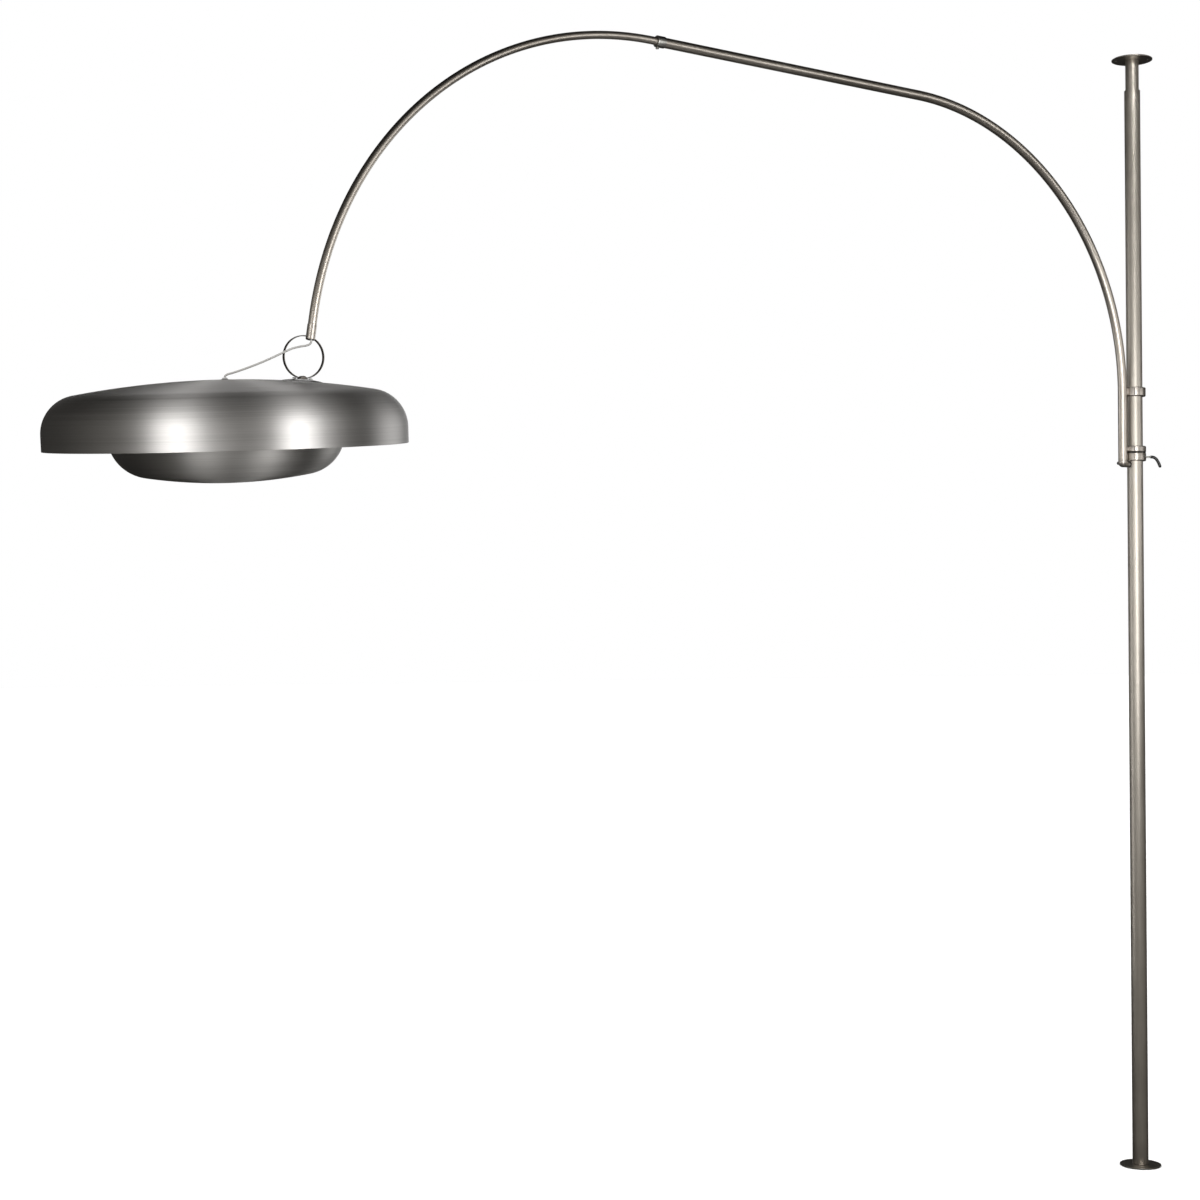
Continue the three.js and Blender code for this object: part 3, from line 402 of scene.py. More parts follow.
def add_node(tree, kind, inputs=None, stops=(), **settings):
    """Adds a node. Inputs are values or the sockets that feed them, and the stops of a ramp are
    pairs of a position and a hex colour."""
    node = tree.nodes.new(kind)
    for key, value in settings.items():
        setattr(node, key, value)
    for key, value in (inputs or {}).items():
        if isinstance(value, bpy.types.NodeSocket):
            tree.links.new(value, node.inputs[key])
        else:
            node.inputs[key].default_value = value
    if stops:
        elements = node.color_ramp.elements
        while len(elements) < len(stops):
            elements.new(0.5)
        for element, (position, colour) in zip(elements, stops):
            element.position = position
            element.color = linear(colour)
    return node


def new_material(name, **values):
    """A material with a Principled shader and its plain values."""
    material = bpy.data.materials.new(name)
    material.use_nodes = True
    shader = material.node_tree.nodes["Principled BSDF"]
    for key, value in values.items():
        shader.inputs[key.replace("_", " ")].default_value = value
    return material, material.node_tree, shader


def finish_surface(tree, shader, pattern, relief, colours, gloss, strength, depth):
    """The pattern, from 0 to 1, moves the colour from dark to light and the roughness from low to
    high. The relief raises the surface by up to the depth in metres."""
    ramp = add_node(tree, "ShaderNodeValToRGB", {"Fac": pattern}, [(0.3, colours[0]), (0.7, colours[1])])
    level = add_node(tree, "ShaderNodeMapRange", {
        "Value": pattern, "From Min": 0.25, "From Max": 0.75, "To Min": gloss[0], "To Max": gloss[1]})
    raised = add_node(tree, "ShaderNodeBump", {"Height": relief, "Strength": strength, "Distance": depth})
    tree.links.new(ramp.outputs["Color"], shader.inputs["Base Color"])
    tree.links.new(level.outputs["Result"], shader.inputs["Roughness"])
    tree.links.new(raised.outputs["Normal"], shader.inputs["Normal"])


def follow_surface(tree, shader):
    """Lays the brushing along the piece's own surface coordinates, and gives those coordinates."""
    tangent = add_node(tree, "ShaderNodeTangent", direction_type="UV_MAP", uv_map="surface")
    tree.links.new(tangent.outputs["Tangent"], shader.inputs["Tangent"])
    return add_node(tree, "ShaderNodeUVMap", uv_map="surface").outputs["UV"]


def tube_finish(name, colours, gloss, spread):
    """Steel tube, nickel plated and brushed lengthwise. The lines spread a highlight round the tube
    into one soft band. Real lines are about 0.2 mm wide: they are drawn 2.5 mm wide and 125 mm long,
    coarse enough to show. Clouds of about 140 mm are the uneven plating and years of handling."""
    material, tree, shader = new_material(name, Metallic=1.0, Anisotropic=spread)
    lay = add_node(tree, "ShaderNodeMapping", {
        "Vector": follow_surface(tree, shader), "Scale": (per_metre(2.5), per_metre(125), 1)})
    lines = add_node(tree, "ShaderNodeTexNoise", {
        "Vector": lay.outputs["Vector"], "Scale": 1.0, "Detail": 1.0, "Roughness": SOFTNESS}).outputs["Fac"]
    solid = add_node(tree, "ShaderNodeTexCoord").outputs["Object"]
    clouds = add_node(tree, "ShaderNodeTexNoise", {
        "Vector": solid, "Scale": per_metre(1000 / 7), "Detail": 4.0, "Roughness": SOFTNESS}).outputs["Fac"]
    both = add_node(tree, "ShaderNodeMix", {"Factor": 0.6, "A": lines, "B": clouds}).outputs["Result"]
    finish_surface(tree, shader, both, lines, colours, gloss, 0.01, 0.01 * MM)
    return material


def spun_aluminium(name, colours, gloss):
    """Aluminium sheet spun on a lathe and brushed while it turned. The lines run round the axis, so
    a lamp beside it shows as a broad bright band from rim to crown. Real lines are about 0.3 mm
    wide: they are drawn 2.5 mm wide. Wider rings of 17 mm are the passes of the spinning tool, and
    clouds of 200 mm its slight dullness from handling."""
    material, tree, shader = new_material(name, Metallic=1.0, Anisotropic=0.8, Anisotropic_Rotation=0.25)
    place = follow_surface(tree, shader)
    fine = add_node(tree, "ShaderNodeMapping", {
        "Vector": place, "Scale": (per_metre(2500 / 3), per_metre(2.5), 1)}).outputs["Vector"]
    lines = add_node(tree, "ShaderNodeTexNoise", {
        "Vector": fine, "Scale": 1.0, "Detail": 3.0, "Roughness": 0.7}).outputs["Fac"]
    wide = add_node(tree, "ShaderNodeMapping", {
        "Vector": place, "Scale": (per_metre(1250), per_metre(50 / 3), 1)}).outputs["Vector"]
    rings = add_node(tree, "ShaderNodeTexNoise", {
        "Vector": wide, "Scale": 1.0, "Detail": 2.0, "Roughness": SOFTNESS}).outputs["Fac"]
    solid = add_node(tree, "ShaderNodeTexCoord").outputs["Object"]
    clouds = add_node(tree, "ShaderNodeTexNoise", {
        "Vector": solid, "Scale": per_metre(200), "Detail": 3.0, "Roughness": SOFTNESS}).outputs["Fac"]
    marks = add_node(tree, "ShaderNodeMix", {"Factor": 0.3, "A": lines, "B": rings}).outputs["Result"]
    both = add_node(tree, "ShaderNodeMix", {"Factor": 0.25, "A": marks, "B": clouds}).outputs["Result"]
    finish_surface(tree, shader, both, lines, colours, gloss, 0.15, 0.02 * MM)
    return material


def grained(name, colours, gloss, grain, **values):
    """A cast, moulded, plated or glazed surface. A grain of the given size in millimetres shifts its
    colour, gloss and height a little. Real grain is finer than 0.2 mm and is drawn coarser to show."""
    material, tree, shader = new_material(name, **values)
    solid = add_node(tree, "ShaderNodeTexCoord").outputs["Object"]
    pattern = add_node(tree, "ShaderNodeTexNoise", {
        "Vector": solid, "Scale": per_metre(grain), "Detail": 4.0, "Roughness": SOFTNESS}).outputs["Fac"]
    finish_surface(tree, shader, pattern, pattern, colours, gloss, 0.2, 0.05 * MM)
    return material


# Drawn steel tube, nickel plated and brushed: warm grey, with one soft bright band down its length.
satin_nickel_pole = tube_finish("satin_nickel_steel_pole", ("#a29c93", "#b7b1a8"), (0.36, 0.44), 0.6)
# The thinner bent tubes, brushed finer: a narrower band between nearly black edges.
satin_nickel_arm = tube_finish("satin_nickel_steel_arm", ("#aaa39a", "#c0b9b0"), (0.32, 0.36), 0.4)
# Cast fittings, nickel plated and satin polished: the tubes' colour, with a sheen free of lines.
nickel_casting = grained("satin_nickel_castings", ("#ada69e", "#c0b9b1"), (0.34, 0.44), 2, Metallic=1.0)
# Rolled steel strip and sheet, black nickel plated: almost black, with small crisp highlights.
black_nickel = grained(
    "black_nickel_plated_steel", ("#262422", "#35322f"), (0.26, 0.36), 10 / 3, Metallic=1.0)
# Spun and brushed aluminium of the shade: neutral grey, bands of light that fan from the crown.
spun_shade = spun_aluminium("spun_brushed_aluminium_shade", ("#a6a4a2", "#c9c7c5"), (0.46, 0.56))
# The bowl's spun aluminium: the shade's metal, coloured a little darker as painted shade for its place under
# the rim, over the same bands.
shaded_spun_bowl = spun_aluminium("spun_aluminium_bowl_painted_darker", ("#a3a19e", "#c2c0bd"), (0.46, 0.56))
# Turned or pressed steel, zinc plated: cool pale grey with a faintly mottled gloss.
zinc_steel = grained("zinc_plated_steel", ("#9c9b97", "#b8b7b2"), (0.3, 0.45), 10 / 9, Metallic=1.0)
# Turned brass: dull yellow metal with a soft gloss.
turned_brass = grained("turned_brass", ("#a98c4e", "#c2a565"), (0.25, 0.4), 10 / 9, Metallic=1.0)
# Injection-moulded black plastic: near black with a smooth, slightly uneven gloss.
black_grip = grained("moulded_black_plastic", ("#0c0c0c", "#191918"), (0.28, 0.42), 10 / 7)
# Injection-moulded nylon: dark, waxy and dull.
dark_nylon = grained("moulded_dark_nylon", ("#1f1e1c", "#2c2b28"), (0.5, 0.7), 10 / 9)
# Moulded rubber: black and matt, with no clear highlight.
black_rubber = grained("moulded_black_rubber", ("#151514", "#22211f"), (0.75, 0.95), 5 / 6)
# Glazed porcelain: off-white, with the sharp shine of a glassy coat.
porcelain = grained("glazed_porcelain", ("#dcd8cf", "#ece9e2"), (0.12, 0.25), 4, Coat_Weight=0.5)
# Blown opal glass: milky white and glossy, and soft where light goes a little way in.
opal_glass = grained("opal_glass", ("#e6e3dc", "#f4f2ec"), (0.1, 0.2), 50 / 3, Subsurface_Weight=0.2)
# Extruded plastic sheath: pale grey with a low, even gloss.
pale_flex = grained("extruded_pale_plastic_sheath", ("#7f7e7b", "#918f8c"), (0.35, 0.5), 2)

# ---- Flex -----------------------------------------------------------------------------------

flex_path, flex_length, flex_line = through(FLEX_ROUTE)
flex_rows = np.linspace(0, flex_length, FLEX_ROWS)
flex_profile = np.stack([np.full(FLEX_ROWS, FLEX_RADIUS), flex_rows], -1)
flex_profile = np.concatenate([[(0, 0)], flex_profile, [(0, flex_length)]])
shade_flex = place_piece(
    "shade_flex_sheath", build_mesh("shade_flex_sheath", [round_path(flex_path, flex_profile, sides=20)]),
    pale_flex, None, ["shade_flex"])
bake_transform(shade_flex)

# ---- Pole -----------------------------------------------------------------------------------

def tube_profile(outer, bore, start, end, edge, rows):
    """A tube's wall in section, its four edges rounded, with rows at most so far apart."""
    corners = [(outer, start), (outer, end), (bore, end, BORE_EDGE), (bore, start, BORE_EDGE)]
    return dense(rounded(corners, edge), rows)


def pierced(radius_in, radius_out, height):
    """A flat ring with two round holes at opposite azimuths. Each hole sits in a small sector, whose
    outline is drawn in to the hole's circle: place = outline + t (circle - outline)."""
    cell, count, rest = 5.0, 6, 40
    spread = cell / DISC_HOLE_CIRCLE
    near, far = DISC_HOLE_CIRCLE - cell, DISC_HOLE_CIRCLE + cell
    across = np.linspace(-spread, spread, count + 1)
    between_holes = np.linspace(spread, math.pi - spread, rest + 1)
    whole = np.concatenate([across, between_holes[1:], across[1:] + math.pi, between_holes[1:] + math.pi])

    def polar(angle, radius):
        angle = angle + DISC_HOLE_AZIMUTH
        angle, radius = np.broadcast_arrays(angle, radius)
        return np.stack([radius * np.cos(angle), radius * np.sin(angle), np.full(angle.shape, height)], -1)

    patches = [flat_patch(polar(whole[:, None], np.array([radius_in, near])[None, :])),
               flat_patch(polar(whole[:, None], np.array([far, radius_out])[None, :]))]
    middle = np.linspace(near, far, count + 1)
    side = np.linspace(-1, 1, count + 1)
    square = np.concatenate([
        np.stack([side, -np.ones(count + 1)], -1), np.stack([np.ones(count), side[1:]], -1),
        np.stack([side[::-1][1:], np.ones(count)], -1), np.stack([-np.ones(count), side[::-1][1:]], -1)])
    turn = np.arctan2(square[:, 1], square[:, 0])
    t = np.linspace(0, 1, 5)[:, None, None]
    walls = []
    for half in (0, math.pi):
        patches.append(flat_patch(polar(between_holes[:, None] + half, middle[None, :])))
        outline = polar(square[:, 1] * spread + half, DISC_HOLE_CIRCLE + square[:, 0] * cell)
        centre = polar(np.array([half]), np.array([DISC_HOLE_CIRCLE]))[0]
        heading = half + DISC_HOLE_AZIMUTH
        circle = centre + DISC_HOLE_RADIUS * np.stack(
            [np.cos(turn + heading), np.sin(turn + heading), 0 * turn], -1)
        patches.append(flat_patch(outline + t * (circle - outline)))
        walls.append(circle)
    return patches, whole + DISC_HOLE_AZIMUTH, walls


def flange(name, low, high, radius, edge, spigot, material, body, node):
    """A round flange: two pierced faces, a rounded rim and the holes' walls. A spigot above zero
    stands up in the lower tube, and one below zero hangs down in the upper tube."""
    bore = (POLE_BORE if spigot > 0 else UPPER_BORE) - GAP
    top, angles, upper_holes = pierced(bore if spigot > 0 else 0.0, radius - edge, high)
    bottom, angles, lower_holes = pierced(bore if spigot < 0 else 0.0, radius - edge, low)
    patches = top + bottom
    rim = rounded([(radius - edge, low), (radius, low), (radius, high), (radius - edge, high)],
                  edge, closed=False)

    def turned(profile):
        a = angles[:, None]
        grid = np.stack([profile[:, 0] * np.cos(a), profile[:, 0] * np.sin(a), profile[:, 1] + 0 * a], -1)
        return flat_patch(grid)

    patches.append(turned(rim))
    for above, below in zip(upper_holes, lower_holes):
        patches.append(flat_patch(np.stack([above, below])))
    if spigot:
        foot = high if spigot > 0 else low
        patches.append(turned(np.array([(bore, foot), (bore, foot + spigot), (0, foot + spigot)])))
    place_piece(name, build_mesh(name, patches), material, body, [node])


def add_pole():
    """Two telescoping tubes, each with a screwed disc and a rubber pad at its end."""
    disc_foot = PAD_THICKNESS + GAP
    flange("floor_pad_rubber", 0, PAD_THICKNESS, PAD_RADIUS, PAD_EDGE, 0, black_rubber, "pole", "floor_pad")
    flange("floor_disc_plate", disc_foot, disc_foot + DISC_THICKNESS, DISC_RADIUS, DISC_EDGE, SPIGOT_LENGTH,
           nickel_casting, "pole", "floor_disc")
    ceiling_top = CEILING - PAD_THICKNESS - GAP
    flange("ceiling_disc_plate", ceiling_top - DISC_THICKNESS, ceiling_top, DISC_RADIUS, DISC_EDGE,
           -SPIGOT_LENGTH, nickel_casting, "upper_pole", "ceiling_disc")
    flange("ceiling_pad_rubber", CEILING - PAD_THICKNESS, CEILING, PAD_RADIUS, PAD_EDGE, 0,
           black_rubber, "upper_pole", "ceiling_pad")
    lower = tube_profile(POLE_RADIUS, POLE_BORE, POLE_FOOT, POLE_TOP, POLE_EDGE, POLE_ROWS)
    upper = tube_profile(UPPER_RADIUS, UPPER_BORE, UPPER_FOOT, UPPER_TOP, UPPER_EDGE, POLE_ROWS)
    for name, profile, body, node in (
        ("lower_pole_skin", lower, "pole", "lower_pole_tube"),
        ("upper_pole_skin", upper, "upper_pole", "upper_pole_tube"),
    ):
        mesh = build_mesh(name, [round_path(Z_AXIS, profile, sides=72)])
        place_piece(name, mesh, satin_nickel_pole, body, [node])


add_pole()

# ---- Collars and lever ----------------------------------------------------------------------

def split_ring(bore, foot, height):
    """A ring with rounded edges, turned nearly all the way round and closed at its seam."""
    top = foot + height
    corners = [(bore, foot, 0.3), (COLLAR_RADIUS, foot), (COLLAR_RADIUS, top), (bore, top, 0.3)]
    profile = rounded(corners, COLLAR_EDGE)
    half = SEAM_WIDTH / 2 / COLLAR_RADIUS
    body = round_path(Z_AXIS, profile, 84, SEAM_AZIMUTH + half, SEAM_AZIMUTH + TAU - half)
    return [body, capped(body[0][0]), capped(body[0][-1])]


def bridge(bore, foot, height):
    """A block from the ring to the riser. Its far end is hollowed to the riser's round:
    x = -(offset - sqrt(radius squared - y squared))."""
    half, low, high = BRIDGE_WIDTH / 2, foot + COLLAR_EDGE, foot + height - COLLAR_EDGE
    section = rounded([(-half, low), (half, low), (half, high), (-half, high)], BRIDGE_EDGE)
    y, z = section[:, 0], section[:, 1]
    near = np.stack([np.full(len(y), -(bore + BRIDGE_OVERLAP)), y, z], -1)
    far = np.stack([-(ARM_OFFSET - np.sqrt((REAR_RADIUS + GAP) ** 2 - y**2)), y, z], -1)
    return [carried(near, far), capped(near), capped(far)]


def add_collars():
    """The clamp ring, and two guide rings joined to the arm's riser."""
    clamp = build_mesh("clamp_collar_ring", split_ring(COLLAR_BORE, CLAMP_FOOT, CLAMP_HEIGHT))
    place_piece("clamp_collar_ring", clamp, nickel_casting, "height_clamp", ["clamp_collar"])
    bore = COLLAR_BORE + LINER_WALL + GAP
    for name, foot, height in (
        ("lower", LOWER_COLLAR_FOOT, LOWER_COLLAR_HEIGHT),
        ("upper", UPPER_COLLAR_FOOT, UPPER_COLLAR_HEIGHT),
    ):
        mesh = build_mesh(f"{name}_guide_ring", split_ring(bore, foot, height) + bridge(bore, foot, height))
        place_piece(f"{name}_guide_ring", mesh, nickel_casting, "arm", [f"{name}_guide_collar"])


def add_lever():
    """A threaded stem, and a grip that is a round section carried along a cubic curve: place =
    the four control points weighted by the cubic's shares of t. Its far end is a half ball."""
    outward = np.array((math.cos(LEVER_AZIMUTH), math.sin(LEVER_AZIMUTH), 0))
    axis = straight((0, 0, LEVER_HEIGHT), outward, (0, 0, 1))
    rows = np.arange(STUD_START, THREAD_END, THREAD_STEP)
    thread = np.stack([STUD_RADIUS - THREAD_DEPTH * (np.arange(len(rows)) % 2), rows], -1)
    stem = np.concatenate([
        [(0, STUD_START)], thread, [(STUD_RADIUS, THREAD_END), (STUD_RADIUS, STUD_END), (0, STUD_END)]])
    mesh = build_mesh("lever_stem", [round_path(axis, stem, sides=24)])
    place_piece("lever_stem", mesh, zinc_steel, "clamp_lever", ["lever_stud"])

    t = np.linspace(0, 1, 25)[:, None]
    shares = np.concatenate([(1 - t) ** 3, 3 * t * (1 - t) ** 2, 3 * t**2 * (1 - t), t**3], 1)
    curve = shares @ GRIP_CURVE
    points = curve[:, :1] * outward
    points[:, 2] = curve[:, 1] + LEVER_HEIGHT
    path, length, _ = through(points)
    neck = np.array([(0, 0), (GRIP_RADIUS - GRIP_EDGE, 0), (GRIP_RADIUS, GRIP_EDGE)])
    shank = np.stack([np.full(30, GRIP_RADIUS), np.linspace(1.5, length - GRIP_RADIUS - 1, 30)], -1)
    ball = arc((0, length - GRIP_RADIUS), GRIP_RADIUS, 0, math.pi / 2, 8)
    mesh = build_mesh("lever_handle", [round_path(path, np.concatenate([neck, shank, ball]), sides=28)])
    place_piece("lever_handle", mesh, black_grip, "clamp_lever", ["lever_grip"])


add_collars()
add_lever()

# ---- Arm ------------------------------------------------------------------------------------

rear_path, rear_length, arm_end, arm_slope = bent(
    (-ARM_OFFSET, 0, RISER_FOOT), 0.0,
    [(RISER_TOP - RISER_FOOT, None), (REAR_BEND, REAR_TURN), (REAR_STRAIGHT, None)])
arm_direction = np.array([-math.sin(arm_slope), 0, math.cos(arm_slope)])
tail_start = arm_end + (COUPLING_LIP + GAP - FRONT_TAIL) * arm_direction
front_path, front_length, _, _ = bent(
    tail_start, arm_slope, [(FRONT_TAIL + FRONT_NECK, None), (FRONT_BEND, FRONT_TURN), (FRONT_TIP, None)])


def add_arm():
    """Two bent tubes, the thinner one in the thicker, and the turned sleeve where they meet."""
    rear = tube_profile(REAR_RADIUS, REAR_BORE, 0, rear_length, REAR_EDGE, ARM_ROWS)
    front = tube_profile(FRONT_RADIUS, FRONT_BORE, 0, front_length, FRONT_EDGE, ARM_ROWS)
    for name, path, profile, body, node in (
        ("rear_arm_skin", rear_path, rear, "arm", "rear_arm_tube"),
        ("front_arm_skin", front_path, front, "front_arm", "front_arm_tube"),
    ):
        mesh = build_mesh(name, [round_path(path, profile, sides=40)])
        place_piece(name, mesh, satin_nickel_arm, body, [node])
    collar = rounded([
        (REAR_RADIUS + GAP, COUPLING_BACK, 0.2), (COUPLING_RADIUS, COUPLING_BACK, 0.9),
        (COUPLING_RADIUS, COUPLING_LIP, 1.4), (FRONT_RADIUS + 0.4, COUPLING_LIP, 0.3),
        (FRONT_RADIUS + 0.4, GAP, 0.1), (REAR_RADIUS + GAP, GAP, 0.1)], 0.5)
    axis = straight(arm_end, arm_direction, (0, 1, 0))
    mesh = build_mesh("coupling_sleeve", [round_path(axis, collar, sides=48)])
    place_piece("coupling_sleeve", mesh, zinc_steel, "arm", ["coupling_collar"])


add_arm()

# ---- Ring and shade -------------------------------------------------------------------------

def crown_shape():
    """The crown is a shallow ball whose edge meets the shoulder's arc at the same slope."""
    radius = (SHADE_RADIUS - SHADE_SHOULDER + SHADE_SHOULDER * math.sin(SHADE_SLOPE)) / math.sin(SHADE_SLOPE)
    return radius, SHADE_WALL + (SHADE_SHOULDER - radius) * math.cos(SHADE_SLOPE)


CROWN_RADIUS, CROWN_CENTRE = crown_shape()
base_tilt = math.asin(RING_OFFSET / CROWN_RADIUS)
base_height = CROWN_CENTRE + CROWN_RADIUS * math.cos(base_tilt)
ring_rise = BASE_CROWN + GAP + RING_THICKNESS / 2 + RING_RADIUS
ring_in_shade = Vector((RING_OFFSET + ring_rise * math.sin(base_tilt), 0,
                        base_height + ring_rise * math.cos(base_tilt)))
shade_turn = Matrix.Rotation(SHADE_ROLL, 4, "X") @ Matrix.Rotation(SHADE_PITCH, 4, "Y")
tilt_joint = next(joint for joint in frame["joints"] if joint["name"] == "shade_tilt")
ring_centre = Vector(tilt_joint["pos_m"]) / MM
shade_place = Matrix.Translation(ring_centre - (shade_turn @ ring_in_shade)) @ shade_turn
base_place = shade_place @ Matrix.Translation((RING_OFFSET, 0, base_height))
base_place = base_place @ Matrix.Rotation(base_tilt, 4, "Y")


def shade_line(offset):
    """The shade in section from rim to crown: wall, shoulder arc and crown arc, moved in by the
    offset."""
    shoulder = arc((SHADE_RADIUS - SHADE_SHOULDER, SHADE_WALL), SHADE_SHOULDER - offset,
                   0, math.pi / 2 - SHADE_SLOPE, 28)
    crown = arc((0, CROWN_CENTRE), CROWN_RADIUS - offset, math.pi / 2 - SHADE_SLOPE,
                math.pi / 2 - math.asin(CROWN_HOLE / CROWN_RADIUS), 24)
    wall = np.stack([np.full(5, SHADE_RADIUS - offset), np.linspace(SHEET_EDGE, SHADE_WALL, 5)], -1)
    return np.concatenate([wall, shoulder[1:], crown[1:]])


def bowl_line(offset):
    """The bowl in section from its middle to its rim: dish arc, shoulder arc, short wall."""
    middle = BOWL_RADIUS - BOWL_SHOULDER
    dish = (middle + BOWL_SHOULDER * math.sin(BOWL_SLOPE)) / math.sin(BOWL_SLOPE)
    centre = BOWL_SHOULDER_HEIGHT + (dish - BOWL_SHOULDER) * math.cos(BOWL_SLOPE)
    bottom = arc((0, centre), dish - offset, -math.pi / 2, -math.pi / 2 + BOWL_SLOPE, 16)
    bottom[0, 0] = 0
    shoulder = arc((middle, BOWL_SHOULDER_HEIGHT), BOWL_SHOULDER - offset, -math.pi / 2 + BOWL_SLOPE, 0, 26)
    return np.concatenate([bottom, shoulder[1:], [(BOWL_RADIUS - offset, BOWL_RIM)]])


def add_shade():
    """The shade and the bowl: each section and the same one a sheet's thickness inside, turned
    about the axis."""
    rim = [(SHADE_RADIUS - SHEET / 2, 0)]
    profile = np.concatenate([rim, shade_line(0), shade_line(SHEET)[::-1], rim])
    mesh = build_mesh("shade_shell", [round_path(Z_AXIS, profile, sides=256)], shade_place)
    place_piece("shade_shell", mesh, spun_shade, "shade", ["shade_dome"])
    profile = np.concatenate([bowl_line(0), bowl_line(SHEET)[::-1]])
    mesh = build_mesh("bowl_shell", [round_path(Z_AXIS, profile, sides=200)], shade_place)
    # The bowl wears the shade's aluminium coloured darker: painted shade under the rim.
    place_piece("bowl_shell", mesh, shaded_spun_bowl, "shade", ["inner_bowl"])


def add_ring():
    """The ring is a flat band's rounded section turned about the ring's axis. The base plate is a
    domed disc whose height falls with the square of the radius, with a round lug across it."""
    half, thick = RING_BAND / 2, RING_THICKNESS / 2
    section = rounded([(RING_RADIUS - thick, -half), (RING_RADIUS + thick, -half),
                       (RING_RADIUS + thick, half), (RING_RADIUS - thick, half)], 0.5)
    lay = shade_place @ Matrix.Translation(ring_in_shade) @ Matrix.Rotation(math.pi / 2, 4, "X")
    mesh = build_mesh("hanging_ring_band", [round_path(Z_AXIS, section, sides=144)], lay)
    place_piece("hanging_ring_band", mesh, black_nickel, "shade", ["hanging_ring"])

    radii = np.linspace(BASE_RADIUS - BASE_LIP, 0, 20)
    top = BASE_EDGE + (BASE_CROWN - BASE_EDGE) * (1 - (radii / BASE_RADIUS) ** 2)
    dip = CROWN_RADIUS - np.sqrt(CROWN_RADIUS**2 - radii[::-1] ** 2)
    profile = np.concatenate([
        np.stack([radii[::-1], GAP - dip], -1), [(BASE_RADIUS, 0.0), (BASE_RADIUS, BASE_EDGE * 0.6)],
        np.stack([radii, top], -1)])
    lug = rounded([(0, -LUG_WIDTH / 2), (LUG_RADIUS, -LUG_WIDTH / 2), (LUG_RADIUS, LUG_WIDTH / 2),
                   (0, LUG_WIDTH / 2)], LUG_EDGE, closed=False)
    across = straight((0, 0, LUG_CENTRE), (0, 1, 0), (0, 0, 1))
    patches = [round_path(Z_AXIS, profile, sides=80), round_path(across, lug, sides=40)]
    mesh = build_mesh("ring_base_plate", patches, base_place)
    place_piece("ring_base_plate", mesh, black_nickel, "shade", ["ring_base"])


add_shade()
add_ring()

# ---- Small parts ----------------------------------------------------------------------------

SMALL_PARTS = {
    "pole": [("pole_guide_bush", dark_nylon, "nylon"), ("spring_seat", zinc_steel, "zinc_steel"),
             ("pole_spring", zinc_steel, "zinc_steel")],
    "upper_pole": [("spring_follower", zinc_steel, "zinc_steel")],
    "height_clamp": [("clamp_pad", turned_brass, "brass"), ("thrust_washer", dark_nylon, "nylon")],
    "arm": [("lower_collar_liner", dark_nylon, "nylon"), ("upper_collar_liner", dark_nylon, "nylon"),
            ("arm_foot", nickel_casting, "satin_steel"), ("foot_pad", dark_nylon, "nylon"),
            ("mains_outlet_grommet", black_rubber, "rubber"), ("rear_inner_flex", pale_flex, "white_flex")],
    "coupling_screw": [("coupling_screw", zinc_steel, "zinc_steel")],
    "front_arm": [("tail_guide", dark_nylon, "nylon"), ("front_inner_flex", pale_flex, "white_flex")],
    "tip": [("tip_head", nickel_casting, "satin_steel"), ("ring_grub_screw", zinc_steel, "zinc_steel"),
            ("tip_retaining_screw", zinc_steel, "zinc_steel"), ("tip_flex", pale_flex, "white_flex")],
    "shade": [("backing_plate", zinc_steel, "zinc_steel"), ("base_screw_1", zinc_steel, "zinc_steel"),
              ("base_nut_1", zinc_steel, "zinc_steel"), ("base_screw_2", zinc_steel, "zinc_steel"),
              ("base_nut_2", zinc_steel, "zinc_steel"), ("centre_nipple", zinc_steel, "zinc_steel"),
              ("flex_grommet", pale_flex, "white_flex"), ("under_crown_nut", zinc_steel, "zinc_steel"),
              ("terminal_cup", zinc_steel, "zinc_steel"), ("terminal_block", porcelain, "porcelain"),
              ("lamp_carrier", zinc_steel, "zinc_steel"), ("carrier_nut", zinc_steel, "zinc_steel"),
              ("bowl_boss", zinc_steel, "zinc_steel"), ("bowl_lock_nut", zinc_steel, "zinc_steel"),
              ("lampholder_1", porcelain, "porcelain"), ("lampholder_2", porcelain, "porcelain"),
              ("lampholder_3", porcelain, "porcelain"), ("bulb_1", opal_glass, "opal_glass"),
              ("bulb_2", opal_glass, "opal_glass"), ("bulb_3", opal_glass, "opal_glass")],
}
# Round parts with no edge to soften.
UNBEVELLED = ("pole_spring", "rear_inner_flex", "front_inner_flex", "tip_flex", "bulb_1", "bulb_2",
              "bulb_3")
for body, parts in SMALL_PARTS.items():
    for part, material, slot in parts:
        smooth_copy(part, material, body, 0 if part in UNBEVELLED else SMALL_EDGE)

# ---- Floor and light ------------------------------------------------------------------------

ROOM_FRONT = (-0.50236, -0.86466, 0)  # the way that the front wall of the reflected room lies


